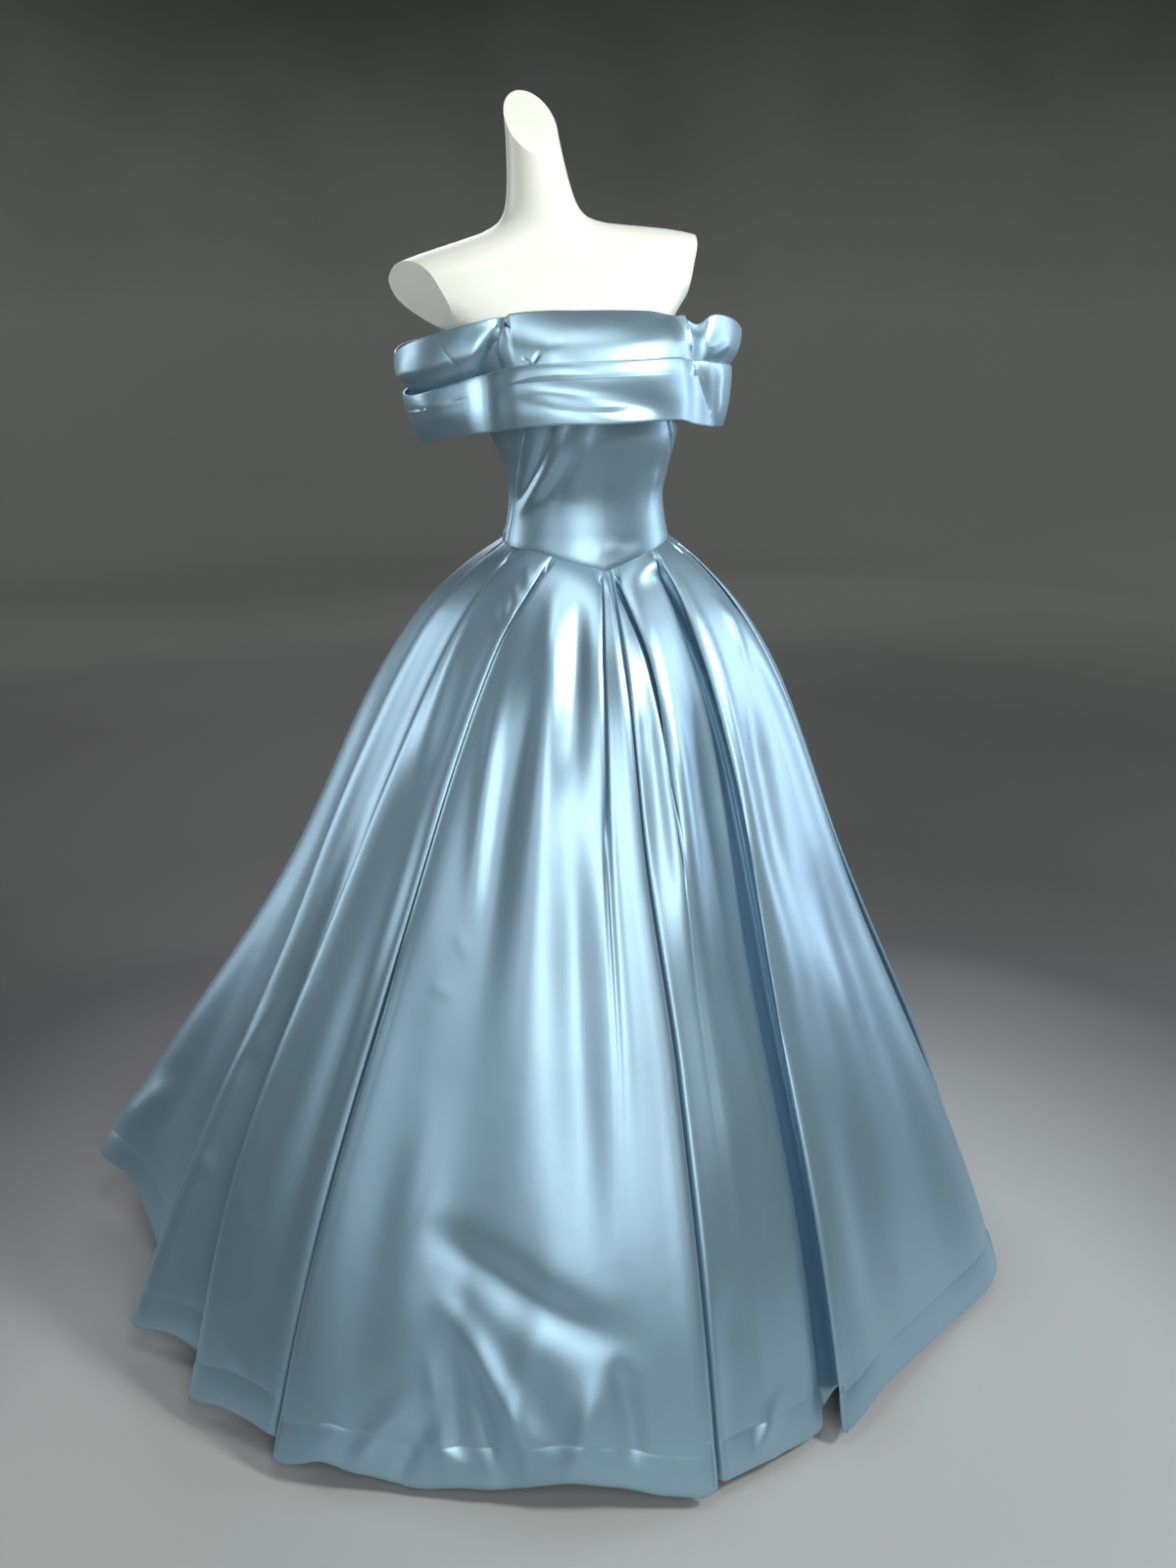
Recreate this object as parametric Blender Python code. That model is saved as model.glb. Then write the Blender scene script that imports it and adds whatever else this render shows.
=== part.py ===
"""Off-the-shoulder satin ball gown, worn by a white limbless dress form on a pole and a round base.

Metres, +Z up. The floor is z = 0, the front of the gown faces -Y and the form's right arm is at -X.
Every piece of cloth is a thin wall. Angles round the gown are in degrees from the centre front,
positive towards +X.
"""

import math

import bmesh
import bpy
import numpy as np

# ---- driving dimensions -------------------------------------------------------------------------
CLOTH = 0.0018  # thickness of the satin with its backing, measured level
SEAM_GAP = 0.0003  # between two pieces at a seam
FIT = 0.0012  # between the form and the bodice that lies on it
TOP_EASE = 0.0026  # how much further off the form the bodice stands at its top edge
TOP_EASE_FROM, TOP_EASE_TO = 1.16, 1.33  # heights between which it comes away

HEM_HEIGHT = 0.030  # hem above the floor
HEM_LIFT = (0.028, -106.0, 13.0)  # the outermost corner of the sweep lifts: by how much, where, how wide
WAIST_SEAM = 1.094  # waist seam at the sides and back
BASQUE_DROP = 0.025  # how far the waist seam dips to its point at the centre front
BASQUE_SPREAD = 60.0  # angle at which the dip has run out
WAIST_CENTRE = (0.0, -0.008)
HEM_SHIFT = (-0.020, 0.106)  # from the waist's centre to the hem's: the skirt sweeps back

FORM_BOTTOM = 0.900
NECK_CUT = (0.077, 1.615)  # y and z of the middle of the slanted cut that ends the neck
NECK_CUT_TILT = 44.3  # degrees of the cut's face from straight up, towards the front
# The flat arm cuts, before the form leans: side, x where it crosses the shoulder's middle height, and
# degrees that its face looks down and forwards. The right shoulder's cut looks further forwards.
ARM_CUTS = ((-1, 0.181, 12.0, 24.0), (1, 0.190, 19.0, 8.0))
SHOULDER = 1.430
ARMPIT = 1.31  # the arm cuts stay above this height
POLE_RADIUS = 0.0125
BASE_RADIUS = 0.175
BASE_THICKNESS = 0.014
BASE_EDGE = 0.004  # rounding of the base's upper edge

# The form, section by section: height, half width, depth in front of and behind its middle line,
# and the exponent that squares the section off (2 is an ellipse).
FORM_COLUMNS = ("height", "half_width", "front", "back", "square")
FORM_SECTIONS = (
    (0.900, 0.126, 0.095, 0.108, 2.2),
    (0.930, 0.143, 0.104, 0.118, 2.2),
    (0.980, 0.149, 0.106, 0.121, 2.2),
    (1.030, 0.137, 0.101, 0.110, 2.2),
    (1.075, 0.1165, 0.094, 0.096, 2.1),
    (1.115, 0.105, 0.086, 0.086, 2.1),
    (1.155, 0.1005, 0.082, 0.083, 2.1),
    (1.195, 0.107, 0.087, 0.087, 2.1),
    (1.240, 0.122, 0.098, 0.094, 2.1),
    (1.290, 0.132, 0.112, 0.100, 2.2),
    (1.325, 0.138, 0.118, 0.103, 2.2),
    (1.360, 0.148, 0.108, 0.103, 2.2),
    (1.390, 0.176, 0.092, 0.098, 2.3),
    (1.420, 0.212, 0.078, 0.090, 2.4),
    (1.442, 0.226, 0.067, 0.079, 2.4),
    (1.458, 0.208, 0.060, 0.068, 2.2),
    (1.470, 0.168, 0.055, 0.060, 2.0),
    (1.479, 0.122, 0.051, 0.055, 2.0),
    (1.487, 0.082, 0.049, 0.052, 2.0),
    (1.497, 0.0585, 0.046, 0.048, 2.0),
    (1.512, 0.0475, 0.043, 0.044, 2.0),
    (1.535, 0.0415, 0.040, 0.0405, 2.0),
    (1.570, 0.0365, 0.036, 0.0365, 2.0),
    (1.610, 0.0330, 0.033, 0.0335, 2.0),
    (1.680, 0.0305, 0.0305, 0.0305, 2.0),
)
LEAN_FROM, LEAN_TO = 1.20, 1.45  # the upper body leans back and to its right between these heights
LEAN_SIDE, LEAN_BACK = -0.034, 0.058
LEAN_RISE = 0.085  # slope of the shoulder line: the left shoulder is the higher one
NECK_SIDE, NECK_BACK = -0.09, 0.17  # slope of the neck above the shoulders

# The bodice's cut: its long dart seams (height and angle), which slant from the side seams at the
# waist up to the bust, the side seams, and its top edge (angle and height).
DART_SEAM = (
    (1.06, 86.5), (1.12, 85.0), (1.17, 78.0), (1.21, 66.0), (1.255, 52.0), (1.30, 46.0), (1.36, 43.0),
)
SIDE_SEAM = 92.0
BODICE_TOP = ((0.0, 1.388), (34.0, 1.384), (56.0, 1.352), (92.0, 1.330), (125.0, 1.340), (180.0, 1.358))

# The skirt's reach from its middle line down its length (share of the way from waist seam to hem).
SKIRT_REACH = (
    (0.0, 0.1125), (0.02, 0.139), (0.043, 0.165), (0.08, 0.200), (0.128, 0.236), (0.223, 0.298),
    (0.365, 0.380), (0.555, 0.487), (0.744, 0.592), (0.90, 0.668), (1.0, 0.712),
)
# Each pleat: the side that its edge points to (-1 or 1), the edge's angle, how deep the cloth goes
# in behind it, how far the edge stands out, and how far the cloth laps under it at the hem. The
# numbers in a column's name are percent of the way down.
PLEAT_COLUMNS = (
    "name", "side", "angle_0", "angle_10", "angle_25", "angle_55", "angle_100",
    "deep_10", "deep_35", "deep_70", "deep_100", "out_10", "out_50", "out_100", "lap", "hollow",
)
PLEATS = (
    ("back_right_in", -1, -172, -172, -172, -171, -170, .030, .045, .060, .075, .00, .00, .00, .045, 0),
    ("back_right_out", 1, -136, -133, -131, -128, -126, .030, .045, .060, .075, .00, .00, .00, .045, 0),
    ("train_right", -1, -112, -110, -109, -107, -106, .030, .050, .080, .110, .01, -.026, .028, .045, .03),
    ("hip_right", -1, -92, -88, -83, -77.5, -73.0, .030, .050, .075, .090, .008, -.014, .000, .035, 0),
    ("side_right", -1, -70, -68, -66, -65, -58.5, .018, .045, .090, .120, .00, .00, .005, .045, 0),
    ("front_right_out", -1, -40.5, -46.5, -47, -47, -45, .022, .032, .055, .075, .00, .00, .014, .040, 0),
    ("centre_right", 1, -5.5, -6.8, -7.5, -8, -9, .012, .004, .002, .002, .00, .00, -.006, .010, 0),
    ("centre_ridge", 1, 0.0, -1.6, -1.2, 1.0, 1.2, .009, .030, .036, .032, .00, .00, .012, .025, 0),
    ("centre_left", -1, 5.5, 8.6, 7.0, 6.5, 7.0, .020, .010, .002, .002, .00, -.010, -.012, .020, 0),
    ("front_left_in", -1, 41, 30.5, 25.6, 19.6, 17.0, .034, .050, .058, .052, .00, .00, -.006, .040, .006),
    ("front_left_out", 1, 66, 64, 62, 59, 53, .025, .040, .055, .070, .006, -.024, .000, .040, 0),
    ("side_left_in", -1, 80, 78, 77, 76, 75, .025, .040, .055, .070, .004, -.030, -.045, .040, 0),
    ("side_left_out", 1, 112, 114, 116, 118, 120, .030, .045, .060, .075, .00, -.015, -.020, .045, 0),
    ("back_left_in", -1, 136, 135, 135, 134, 134, .030, .045, .060, .075, .00, .00, .000, .045, 0),
    ("back_left_out", 1, 172, 172, 172, 171, 170, .030, .045, .060, .075, .00, .00, .000, .045, 0),
)
# Skirt panels, each from the valley of one pleat to the valley of another (None is centre back).
SKIRT_PANELS = (
    ("skirt_back_right", None, "train_right"),
    ("skirt_train_right", "train_right", "hip_right"),
    ("skirt_hip_right", "hip_right", "side_right"),
    ("skirt_side_right", "side_right", "front_right_out"),
    ("skirt_front_right", "front_right_out", "centre_ridge"),
    ("skirt_front_inset", "centre_ridge", "front_left_in"),
    ("skirt_front_left", "front_left_in", "front_left_out"),
    ("skirt_side_left", "front_left_out", "side_left_out"),
    ("skirt_back_left", "side_left_out", None),
)
SKIRT_LEVELS = (0.0, 0.018, 0.045, 0.085, 0.14, 0.23, 0.36, 0.52, 0.69, 0.85, 1.0)
FLAT_FOLD = 0.020  # a pleat shallower than this opens out towards a smooth wave

# The drape bands: plan position of each station round the gown at the top edge, at the seam between
# the two bands and at the bottom edge, and the heights of those three edges.
BAND_COLUMNS = (
    "station", "top_x", "top_y", "top_z", "seam_x", "seam_y", "seam_z", "foot_x", "foot_y", "foot_z",
)
BANDS = (
    ("front_0", -0.022, -0.0800, 1.392, -0.010, -0.110, 1.333, -0.008, -0.134, 1.262),
    ("front_l1", 0.045, -0.0750, 1.392, 0.052, -0.105, 1.334, 0.055, -0.126, 1.263),
    ("front_l2", 0.092, -0.0560, 1.389, 0.098, -0.086, 1.333, 0.098, -0.106, 1.260),
    ("pinch_l", 0.124, -0.042, 1.380, 0.126, -0.058, 1.326, 0.120, -0.072, 1.240),
    ("loop_l1", 0.158, -0.038, 1.378, 0.152, -0.050, 1.323, 0.150, -0.064, 1.240),
    ("loop_l2", 0.206, -0.006, 1.372, 0.191, -0.020, 1.316, 0.185, -0.026, 1.238),
    ("outer_l", 0.236, 0.060, 1.350, 0.212, 0.056, 1.302, 0.204, 0.054, 1.234),
    ("loop_l3", 0.205, 0.112, 1.354, 0.189, 0.114, 1.300, 0.183, 0.114, 1.236),
    ("loop_l4", 0.152, 0.130, 1.358, 0.148, 0.130, 1.304, 0.142, 0.128, 1.240),
    ("tuck_l", 0.108, 0.126, 1.358, 0.108, 0.121, 1.306, 0.104, 0.114, 1.243),
    ("back_l", 0.058, 0.142, 1.362, 0.060, 0.134, 1.308, 0.060, 0.121, 1.246),
    ("back_0", -0.024, 0.150, 1.364, -0.020, 0.142, 1.308, -0.016, 0.128, 1.246),
    ("back_r", -0.104, 0.138, 1.360, -0.100, 0.129, 1.306, -0.094, 0.114, 1.244),
    ("tuck_r", -0.140, 0.126, 1.352, -0.134, 0.120, 1.300, -0.126, 0.110, 1.240),
    ("loop_r4", -0.176, 0.130, 1.348, -0.166, 0.128, 1.292, -0.156, 0.124, 1.232),
    ("loop_r3", -0.218, 0.108, 1.342, -0.207, 0.110, 1.286, -0.194, 0.110, 1.224),
    ("outer_r", -0.239, 0.056, 1.335, -0.227, 0.052, 1.283, -0.210, 0.050, 1.220),
    ("loop_r2", -0.222, 0.000, 1.352, -0.216, -0.016, 1.292, -0.200, -0.022, 1.234),
    ("loop_r1", -0.176, -0.040, 1.372, -0.174, -0.050, 1.308, -0.168, -0.060, 1.246),
    ("pinch_r", -0.140, -0.052, 1.382, -0.140, -0.060, 1.318, -0.141, -0.074, 1.250),
    ("front_r2", -0.112, -0.0560, 1.389, -0.108, -0.088, 1.328, -0.112, -0.106, 1.258),
    ("front_r1", -0.072, -0.0740, 1.392, -0.066, -0.104, 1.332, -0.066, -0.126, 1.262),
)
BAND_PIECES = (
    ("front", "pinch_r", "pinch_l"),
    ("sleeve_left", "pinch_l", "tuck_l"),
    ("back", "tuck_l", "tuck_r"),
    ("sleeve_right", "tuck_r", "pinch_r"),
)
BAND_STEPS = 3  # wall columns from one station to the next
BAND_ROWS = (0.0, 0.16, 0.42, 0.70, 1.0)  # wall rows, as shares of the way down a band
BAND_SEWN = 0.2  # down to this share the front of the upper band lies on the bodice
BAND_SWELL = 0.006  # how far the middle of each folded band stands out

FORM_ANGLES = 48
FORM_EVEN_FROM, FORM_EVEN_TO = 1.05, 1.40  # under the bodice the form's rows are evenly spaced
FORM_EVEN_ROWS = 20
BODICE_ROWS = 13


# ---- helpers ------------------------------------------------------------------------------------
def smooth(edge_0, edge_1, x):
    """0 below edge_0, 1 above edge_1, and an S-shaped ramp between them."""
    s = min(1.0, max(0.0, (x - edge_0) / (edge_1 - edge_0)))
    return s * s * (3.0 - 2.0 * s)


def curve_at(stops, values, x):
    """A smooth curve through (stops, values), read at x, which never overshoots between two stops."""
    stops, values = list(stops), list(values)
    slopes = [(values[i + 1] - values[i]) / (stops[i + 1] - stops[i]) for i in range(len(stops) - 1)]
    tangents = [slopes[0]]
    for before, after in zip(slopes, slopes[1:]):
        tangents.append(0.0 if before * after <= 0 else 2.0 * before * after / (before + after))
    tangents.append(slopes[-1])
    x = min(max(x, stops[0]), stops[-1])
    i = min(max(sum(1 for s in stops if s <= x) - 1, 0), len(slopes) - 1)
    width = stops[i + 1] - stops[i]
    s = (x - stops[i]) / width
    return (
        (2 * s**3 - 3 * s**2 + 1) * values[i]
        + (s**3 - 2 * s**2 + s) * width * tangents[i]
        + (3 * s**2 - 2 * s**3) * values[i + 1]
        + (s**3 - s**2) * width * tangents[i + 1]
    )


def rows_of(columns, table):
    return [dict(zip(columns, row)) for row in table]


def paint(name, colour, roughness, metallic=0.0):
    made = bpy.data.materials.new(name)
    made.use_nodes = True
    shader = made.node_tree.nodes["Principled BSDF"]
    shader.inputs["Base Color"].default_value = (*colour, 1.0)
    shader.inputs["Roughness"].default_value = roughness
    shader.inputs["Metallic"].default_value = metallic
    return made


def add_object(name, bm, material):
    bmesh.ops.recalc_face_normals(bm, faces=bm.faces)
    mesh = bpy.data.meshes.new(name)
    bm.to_mesh(mesh)
    bm.free()
    mesh.materials.append(material)
    mesh.shade_smooth()
    mesh.set_sharp_from_angle(angle=math.radians(40))
    piece = bpy.data.objects.new(name, mesh)
    bpy.context.scene.collection.objects.link(piece)
    return piece


def wall(name, outer, inner, material):
    """A closed strip of cloth between two grids of points of the same rows and columns."""
    rows, columns = len(outer), len(outer[0])
    bm = bmesh.new()
    face, back = (
        [[bm.verts.new(tuple(map(float, point))) for point in row] for row in grid]
        for grid in (outer, inner)
    )
    for i in range(rows - 1):
        for j in range(columns - 1):
            bm.faces.new((face[i][j], face[i + 1][j], face[i + 1][j + 1], face[i][j + 1]))
            bm.faces.new((back[i][j], back[i][j + 1], back[i + 1][j + 1], back[i + 1][j]))
    for i in range(rows - 1):
        for j in (0, columns - 1):
            bm.faces.new((face[i][j], face[i + 1][j], back[i + 1][j], back[i][j]))
    for j in range(columns - 1):
        for i in (0, rows - 1):
            bm.faces.new((face[i][j], face[i][j + 1], back[i][j + 1], back[i][j]))
    return add_object(name, bm, material)


def thickened(points, closed, thickness):
    """A level row of points moved in by the cloth's thickness, square to the row."""
    points = np.asarray(points, float)
    ahead, behind = np.roll(points, -1, 0), np.roll(points, 1, 0)
    if not closed:
        ahead[-1], behind[0] = points[-1], points[0]
    leave, arrive = (ahead - points)[:, :2], (points - behind)[:, :2]
    if not closed:
        leave[-1], arrive[0] = arrive[-1], leave[0]
    leave = leave / np.linalg.norm(leave, axis=1)[:, None]
    arrive = arrive / np.linalg.norm(arrive, axis=1)[:, None]
    along = leave + arrive
    length = np.maximum(np.linalg.norm(along, axis=1), 0.5)
    along = along / np.linalg.norm(along, axis=1)[:, None]
    # The row runs from -X past the front (-Y) to +X, so the inside is to its left.
    inward = np.stack([-along[:, 1], along[:, 0]], axis=1)
    moved = points.copy()
    moved[:, :2] += inward * (thickness * np.minimum(2.0 / length, 1.5))[:, None]
    return moved


def parted(grids, gap):
    """Draws both side edges of a piece back along its rows, by that much on its outer face."""
    for edge, beside in ((0, 1), (-1, -2)):
        share = gap / np.linalg.norm(grids[0][:, beside] - grids[0][:, edge], axis=1)
        for grid in grids:
            grid[:, edge] += (grid[:, beside] - grid[:, edge]) * share[:, None]
    return grids


# ---- the form -----------------------------------------------------------------------------------
FORM = rows_of(FORM_COLUMNS, FORM_SECTIONS)
FORM_HEIGHTS = [row["height"] for row in FORM]


def form_size(column, height):
    return curve_at(FORM_HEIGHTS, [row[column] for row in FORM], height)


def lean(x, y, z):
    """The stance: the upper body leans back and to its right, and the neck goes on from there."""
    share = smooth(LEAN_FROM, LEAN_TO, z)
    above = max(0.0, z - LEAN_TO)
    rise = LEAN_RISE * x * smooth(LEAN_FROM + 0.10, LEAN_TO, z) * (1.0 - smooth(1.47, 1.54, z))
    return (
        x + LEAN_SIDE * share + NECK_SIDE * above,
        y + LEAN_BACK * share + NECK_BACK * above,
        z + rise,
    )


def upright_body(angle, height, away):
    """The point at that angle and height that lies this far off the form, before the form leans."""
    turn = math.radians(angle)
    across, ahead = math.sin(turn), -math.cos(turn)
    half = form_size("half_width", height) + away
    deep = form_size("front" if ahead < 0 else "back", height) + away
    square = form_size("square", height)
    reach = (abs(across / half) ** square + abs(ahead / deep) ** square) ** (-1.0 / square)
    return WAIST_CENTRE[0] + reach * across, WAIST_CENTRE[1] + reach * ahead, height


def on_body(angle, height, away):
    return lean(*upright_body(angle, height, away))


def beside_body(point, away):
    """The point at the same height and side of the form, this far off its surface."""
    share = smooth(LEAN_FROM, LEAN_TO, point[2])
    x = point[0] - LEAN_SIDE * share - WAIST_CENTRE[0]
    y = point[1] - LEAN_BACK * share - WAIST_CENTRE[1]
    height = point[2] - (lean(x, 0.0, point[2])[2] - point[2])
    return on_body(math.degrees(math.atan2(x, -y)), height, away)


def cut_flat(bm, point, normal, above):
    """Cuts off what lies beyond a plane, where the form is above a height, and closes the cut."""
    faces = [f for f in bm.faces if min(v.co.z for v in f.verts) > above]
    verts, edges = {v for f in faces for v in f.verts}, {e for f in faces for e in f.edges}
    reached = list(verts) + list(edges) + faces
    cut = bmesh.ops.bisect_plane(
        bm, geom=reached, dist=1e-6, plane_co=point, plane_no=normal, clear_outer=True
    )
    rim = [e for e in cut["geom_cut"] if isinstance(e, bmesh.types.BMEdge)]
    bmesh.ops.holes_fill(bm, edges=rim, sides=0)


def make_form(white, steel):
    heights = [h for h in FORM_HEIGHTS if h < FORM_EVEN_FROM]
    heights += list(np.linspace(FORM_EVEN_FROM, FORM_EVEN_TO, FORM_EVEN_ROWS))
    heights += [h for h in FORM_HEIGHTS if h > FORM_EVEN_TO]
    angles = [360.0 * i / FORM_ANGLES for i in range(FORM_ANGLES)]
    bm = bmesh.new()
    rings = [[bm.verts.new(upright_body(angle, h, 0.0)) for angle in angles] for h in heights]
    for low, high in zip(rings, rings[1:]):
        for i in range(FORM_ANGLES):
            j = (i + 1) % FORM_ANGLES
            bm.faces.new((low[i], low[j], high[j], high[i]))
    bm.faces.new(rings[0][::-1])
    bm.faces.new(rings[-1])
    for side, x, down, ahead in ARM_CUTS:
        down, ahead = math.radians(down), math.radians(ahead)
        level = (side * math.cos(ahead), -math.sin(ahead))
        normal = (level[0] * math.cos(down), level[1] * math.cos(down), -math.sin(down))
        cut_flat(bm, (side * x, WAIST_CENTRE[1], SHOULDER), normal, ARMPIT)
    for vert in bm.verts:
        vert.co = lean(*vert.co)
    tilt = math.radians(NECK_CUT_TILT)
    cut_flat(bm, (0.0, *NECK_CUT), (0.0, -math.sin(tilt), math.cos(tilt)), SHOULDER)
    add_object("form_torso", bm, white)

    x, y = WAIST_CENTRE
    pole_top = FORM_BOTTOM - SEAM_GAP
    pole_foot = BASE_THICKNESS + SEAM_GAP
    for name, radius, low, high, sides, finish in (
        ("form_pole", POLE_RADIUS, pole_foot, pole_top, 20, steel),
        ("form_base", BASE_RADIUS, 0.0, BASE_THICKNESS, 64, white),
    ):
        bm = bmesh.new()
        bmesh.ops.create_cone(
            bm, cap_ends=True, segments=sides, radius1=radius, radius2=radius, depth=high - low
        )
        bmesh.ops.translate(bm, verts=bm.verts, vec=(x, y, (low + high) / 2))
        if name == "form_base":
            rim = [e for e in bm.edges if all(v.co.z > high - 1e-5 for v in e.verts)]
            bmesh.ops.bevel(
                bm, geom=rim, offset=BASE_EDGE, segments=2, profile=0.5, affect="EDGES", material=-1
            )
        add_object(name, bm, finish)


# ---- the bodice ---------------------------------------------------------------------------------
def bodice_fit(height):
    return FIT + TOP_EASE * smooth(TOP_EASE_FROM, TOP_EASE_TO, height)


def waist_seam(angle):
    """Height of the waist seam at an angle: level, but for the point of the basque in front."""
    turned = abs((angle + 180.0) % 360.0 - 180.0)
    return WAIST_SEAM - BASQUE_DROP * max(0.0, 1.0 - turned / BASQUE_SPREAD) ** 1.3


def bodice_top(angle):
    turned = abs((angle + 180.0) % 360.0 - 180.0)
    return curve_at([a for a, _ in BODICE_TOP], [h for _, h in BODICE_TOP], turned)


def dart_seam(height):
    return curve_at([h for h, _ in DART_SEAM], [a for _, a in DART_SEAM], height)


SEAM_LEVELS = (1.08, 1.36)  # heights at which a dart seam is read for the lowest and highest row
HALF_SEAM_ANGLE = math.degrees(SEAM_GAP / 2 / form_size("half_width", WAIST_SEAM))


def make_bodice(satin):
    """Five panels: each runs from one seam line to the next, row by row from the waist seam up."""
    back = 180.0
    seam_lines = {
        "back_right": (lambda h: -back, lambda h: -SIDE_SEAM, 10),
        "side_right": (lambda h: -SIDE_SEAM, lambda h: -dart_seam(h), 5),
        "front_centre": (lambda h: -dart_seam(h), dart_seam, 18),
        "side_left": (dart_seam, lambda h: SIDE_SEAM, 5),
        "back_left": (lambda h: SIDE_SEAM, lambda h: back, 10),
    }
    for name, (start, end, steps) in seam_lines.items():
        grids = []
        for thickness in (CLOTH, 0.0):
            grid = []
            for i in range(BODICE_ROWS):
                share = i / (BODICE_ROWS - 1)
                row = []
                for j in range(steps + 1):
                    level = SEAM_LEVELS[0] + (SEAM_LEVELS[1] - SEAM_LEVELS[0]) * share
                    first, last = start(level) + HALF_SEAM_ANGLE, end(level) - HALF_SEAM_ANGLE
                    angle = first + (last - first) * j / steps
                    low, high = waist_seam(angle) + SEAM_GAP / 2, bodice_top(angle)
                    height = low + (high - low) * share
                    row.append(on_body(angle, height, bodice_fit(height) + thickness))
                grid.append(row)
            grids.append(grid)
        wall(f"bodice_{name}", *grids, satin)


# ---- the skirt ----------------------------------------------------------------------------------
ANGLE_STOPS = (0.0, 0.10, 0.25, 0.55, 1.0)
DEEP_STOPS = (0.0, 0.03, 0.10, 0.35, 0.70, 1.0)
OUT_STOPS = (0.0, 0.10, 0.50, 1.0)


def pleats_at(share):
    """Every pleat's numbers at one level of the skirt."""
    found = []
    for p in rows_of(PLEAT_COLUMNS, PLEATS):
        angles = [p[c] for c in ("angle_0", "angle_10", "angle_25", "angle_55", "angle_100")]
        deeps = [0.0, 0.3 * p["deep_10"]] + [p[c] for c in ("deep_10", "deep_35", "deep_70", "deep_100")]
        outs = [0.0] + [p[c] for c in ("out_10", "out_50", "out_100")]
        found.append(
            {
                "name": p["name"],
                "side": p["side"],
                "angle": curve_at(ANGLE_STOPS, angles, share),
                "deep": curve_at(DEEP_STOPS, deeps, share),
                "out": curve_at(OUT_STOPS, outs, share),
                "lap": p["lap"] * smooth(0.0, 0.5, share) ** 0.6,
                "hollow": p["hollow"] * smooth(0.3, 1.0, share),
            }
        )
    return found


def skirt_reach(angle, share):
    """Distance of a pleat's edge from the skirt's middle line; at the top it meets the bodice."""
    plain = curve_at([s for s, _ in SKIRT_REACH], [r for _, r in SKIRT_REACH], share)
    x, y, _ = on_body(angle, waist_seam(angle), FIT + CLOTH)
    at_waist = math.hypot(x - WAIST_CENTRE[0], y - WAIST_CENTRE[1])
    return plain + (at_waist - SKIRT_REACH[0][1]) * (1.0 - smooth(0.0, 0.16, share))


def skirt_point(angle, inward, share, out=0.0):
    reach = skirt_reach(angle, share) + out - inward
    turn = math.radians(angle)
    return (
        WAIST_CENTRE[0] + HEM_SHIFT[0] * share + reach * math.sin(turn),
        WAIST_CENTRE[1] + HEM_SHIFT[1] * share - reach * math.cos(turn),
    )


def skirt_height(angle, share):
    top = waist_seam(angle) - SEAM_GAP / 2
    lift, middle, width = HEM_LIFT
    turned = (angle - middle + 180.0) % 360.0 - 180.0
    hem = HEM_HEIGHT + lift * math.exp(-((turned / width) ** 2))
    return top + (hem - top) * share


# A pleat in plan is six points, in the order: neighbour, under the edge, valley, return, edge, crown.
VALLEY = 2
SUNK = (0.72, 0.86, 1.0, 0.55, 0.06, 0.0)  # how deep each lies, as a share of the pleat's depth
WAVE_STEPS = (-1.0, -0.55, -0.15, 0.25, 0.6, 1.0)  # their places across a pleat that is still a wave
WAVE_HALF_WIDTH = 0.014
FACE_STEPS = (1 / 3, 2 / 3)  # two more points on each face between two pleats


def pleat_points(pleat, behind, ahead, share):
    """One pleat's points in plan, as (is the valley, x, y, angle), with the room it has on each side."""
    reach = skirt_reach(pleat["angle"], share) + pleat["out"]
    deep = min(pleat["deep"], 0.9 * reach)
    folded_worth = smooth(0.0, FLAT_FOLD, deep)
    wave_width = min(WAVE_HALF_WIDTH, 0.3 * min(behind, ahead))
    lap = min(pleat["lap"], 0.35 * ahead, 0.8 * deep)
    crown = min(0.010 + 0.18 * deep, 0.35 * ahead)
    neighbour = -min(0.020 + 0.25 * deep, 0.42 * behind)
    points = []
    for n, folded in enumerate((neighbour, 0.05 * deep, lap, 0.6 * lap, 0.0, crown)):
        along = wave_width * WAVE_STEPS[n] * (1.0 - folded_worth) + folded * folded_worth
        wave = 0.5 - 0.5 * math.cos(math.pi * SUNK[n])
        inward = deep * (SUNK[n] * folded_worth + wave * (1.0 - folded_worth))
        angle = pleat["angle"] - pleat["side"] * math.degrees(along / reach)
        points.append((n == VALLEY, *skirt_point(angle, inward, share, pleat["out"]), angle))
    return points if pleat["side"] < 0 else points[::-1]


def face_points(here, after, hollow, share):
    """The points on a face between two pleats: a straight chord, rounded out near the waist."""
    rounded = 1.0 - 0.75 * smooth(0.0, 0.35, share)
    span = (after[3] - here[3]) % 360.0
    points = []
    for part in FACE_STEPS:
        angle = here[3] + span * part
        turn = math.radians(angle)
        outward = np.array([math.sin(turn), -math.cos(turn)])
        chord = np.array(here[1:3]) * (1 - part) + np.array(after[1:3]) * part
        centre = np.array(skirt_point(angle, skirt_reach(angle, share), share))
        start, end = (np.linalg.norm(np.array(point[1:3]) - centre) for point in (here, after))
        arc = centre + (start * (1 - part) + end * part) * outward
        points.append((False, *(chord * (1 - rounded) + arc * rounded - hollow * outward), angle))
    return points


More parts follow.
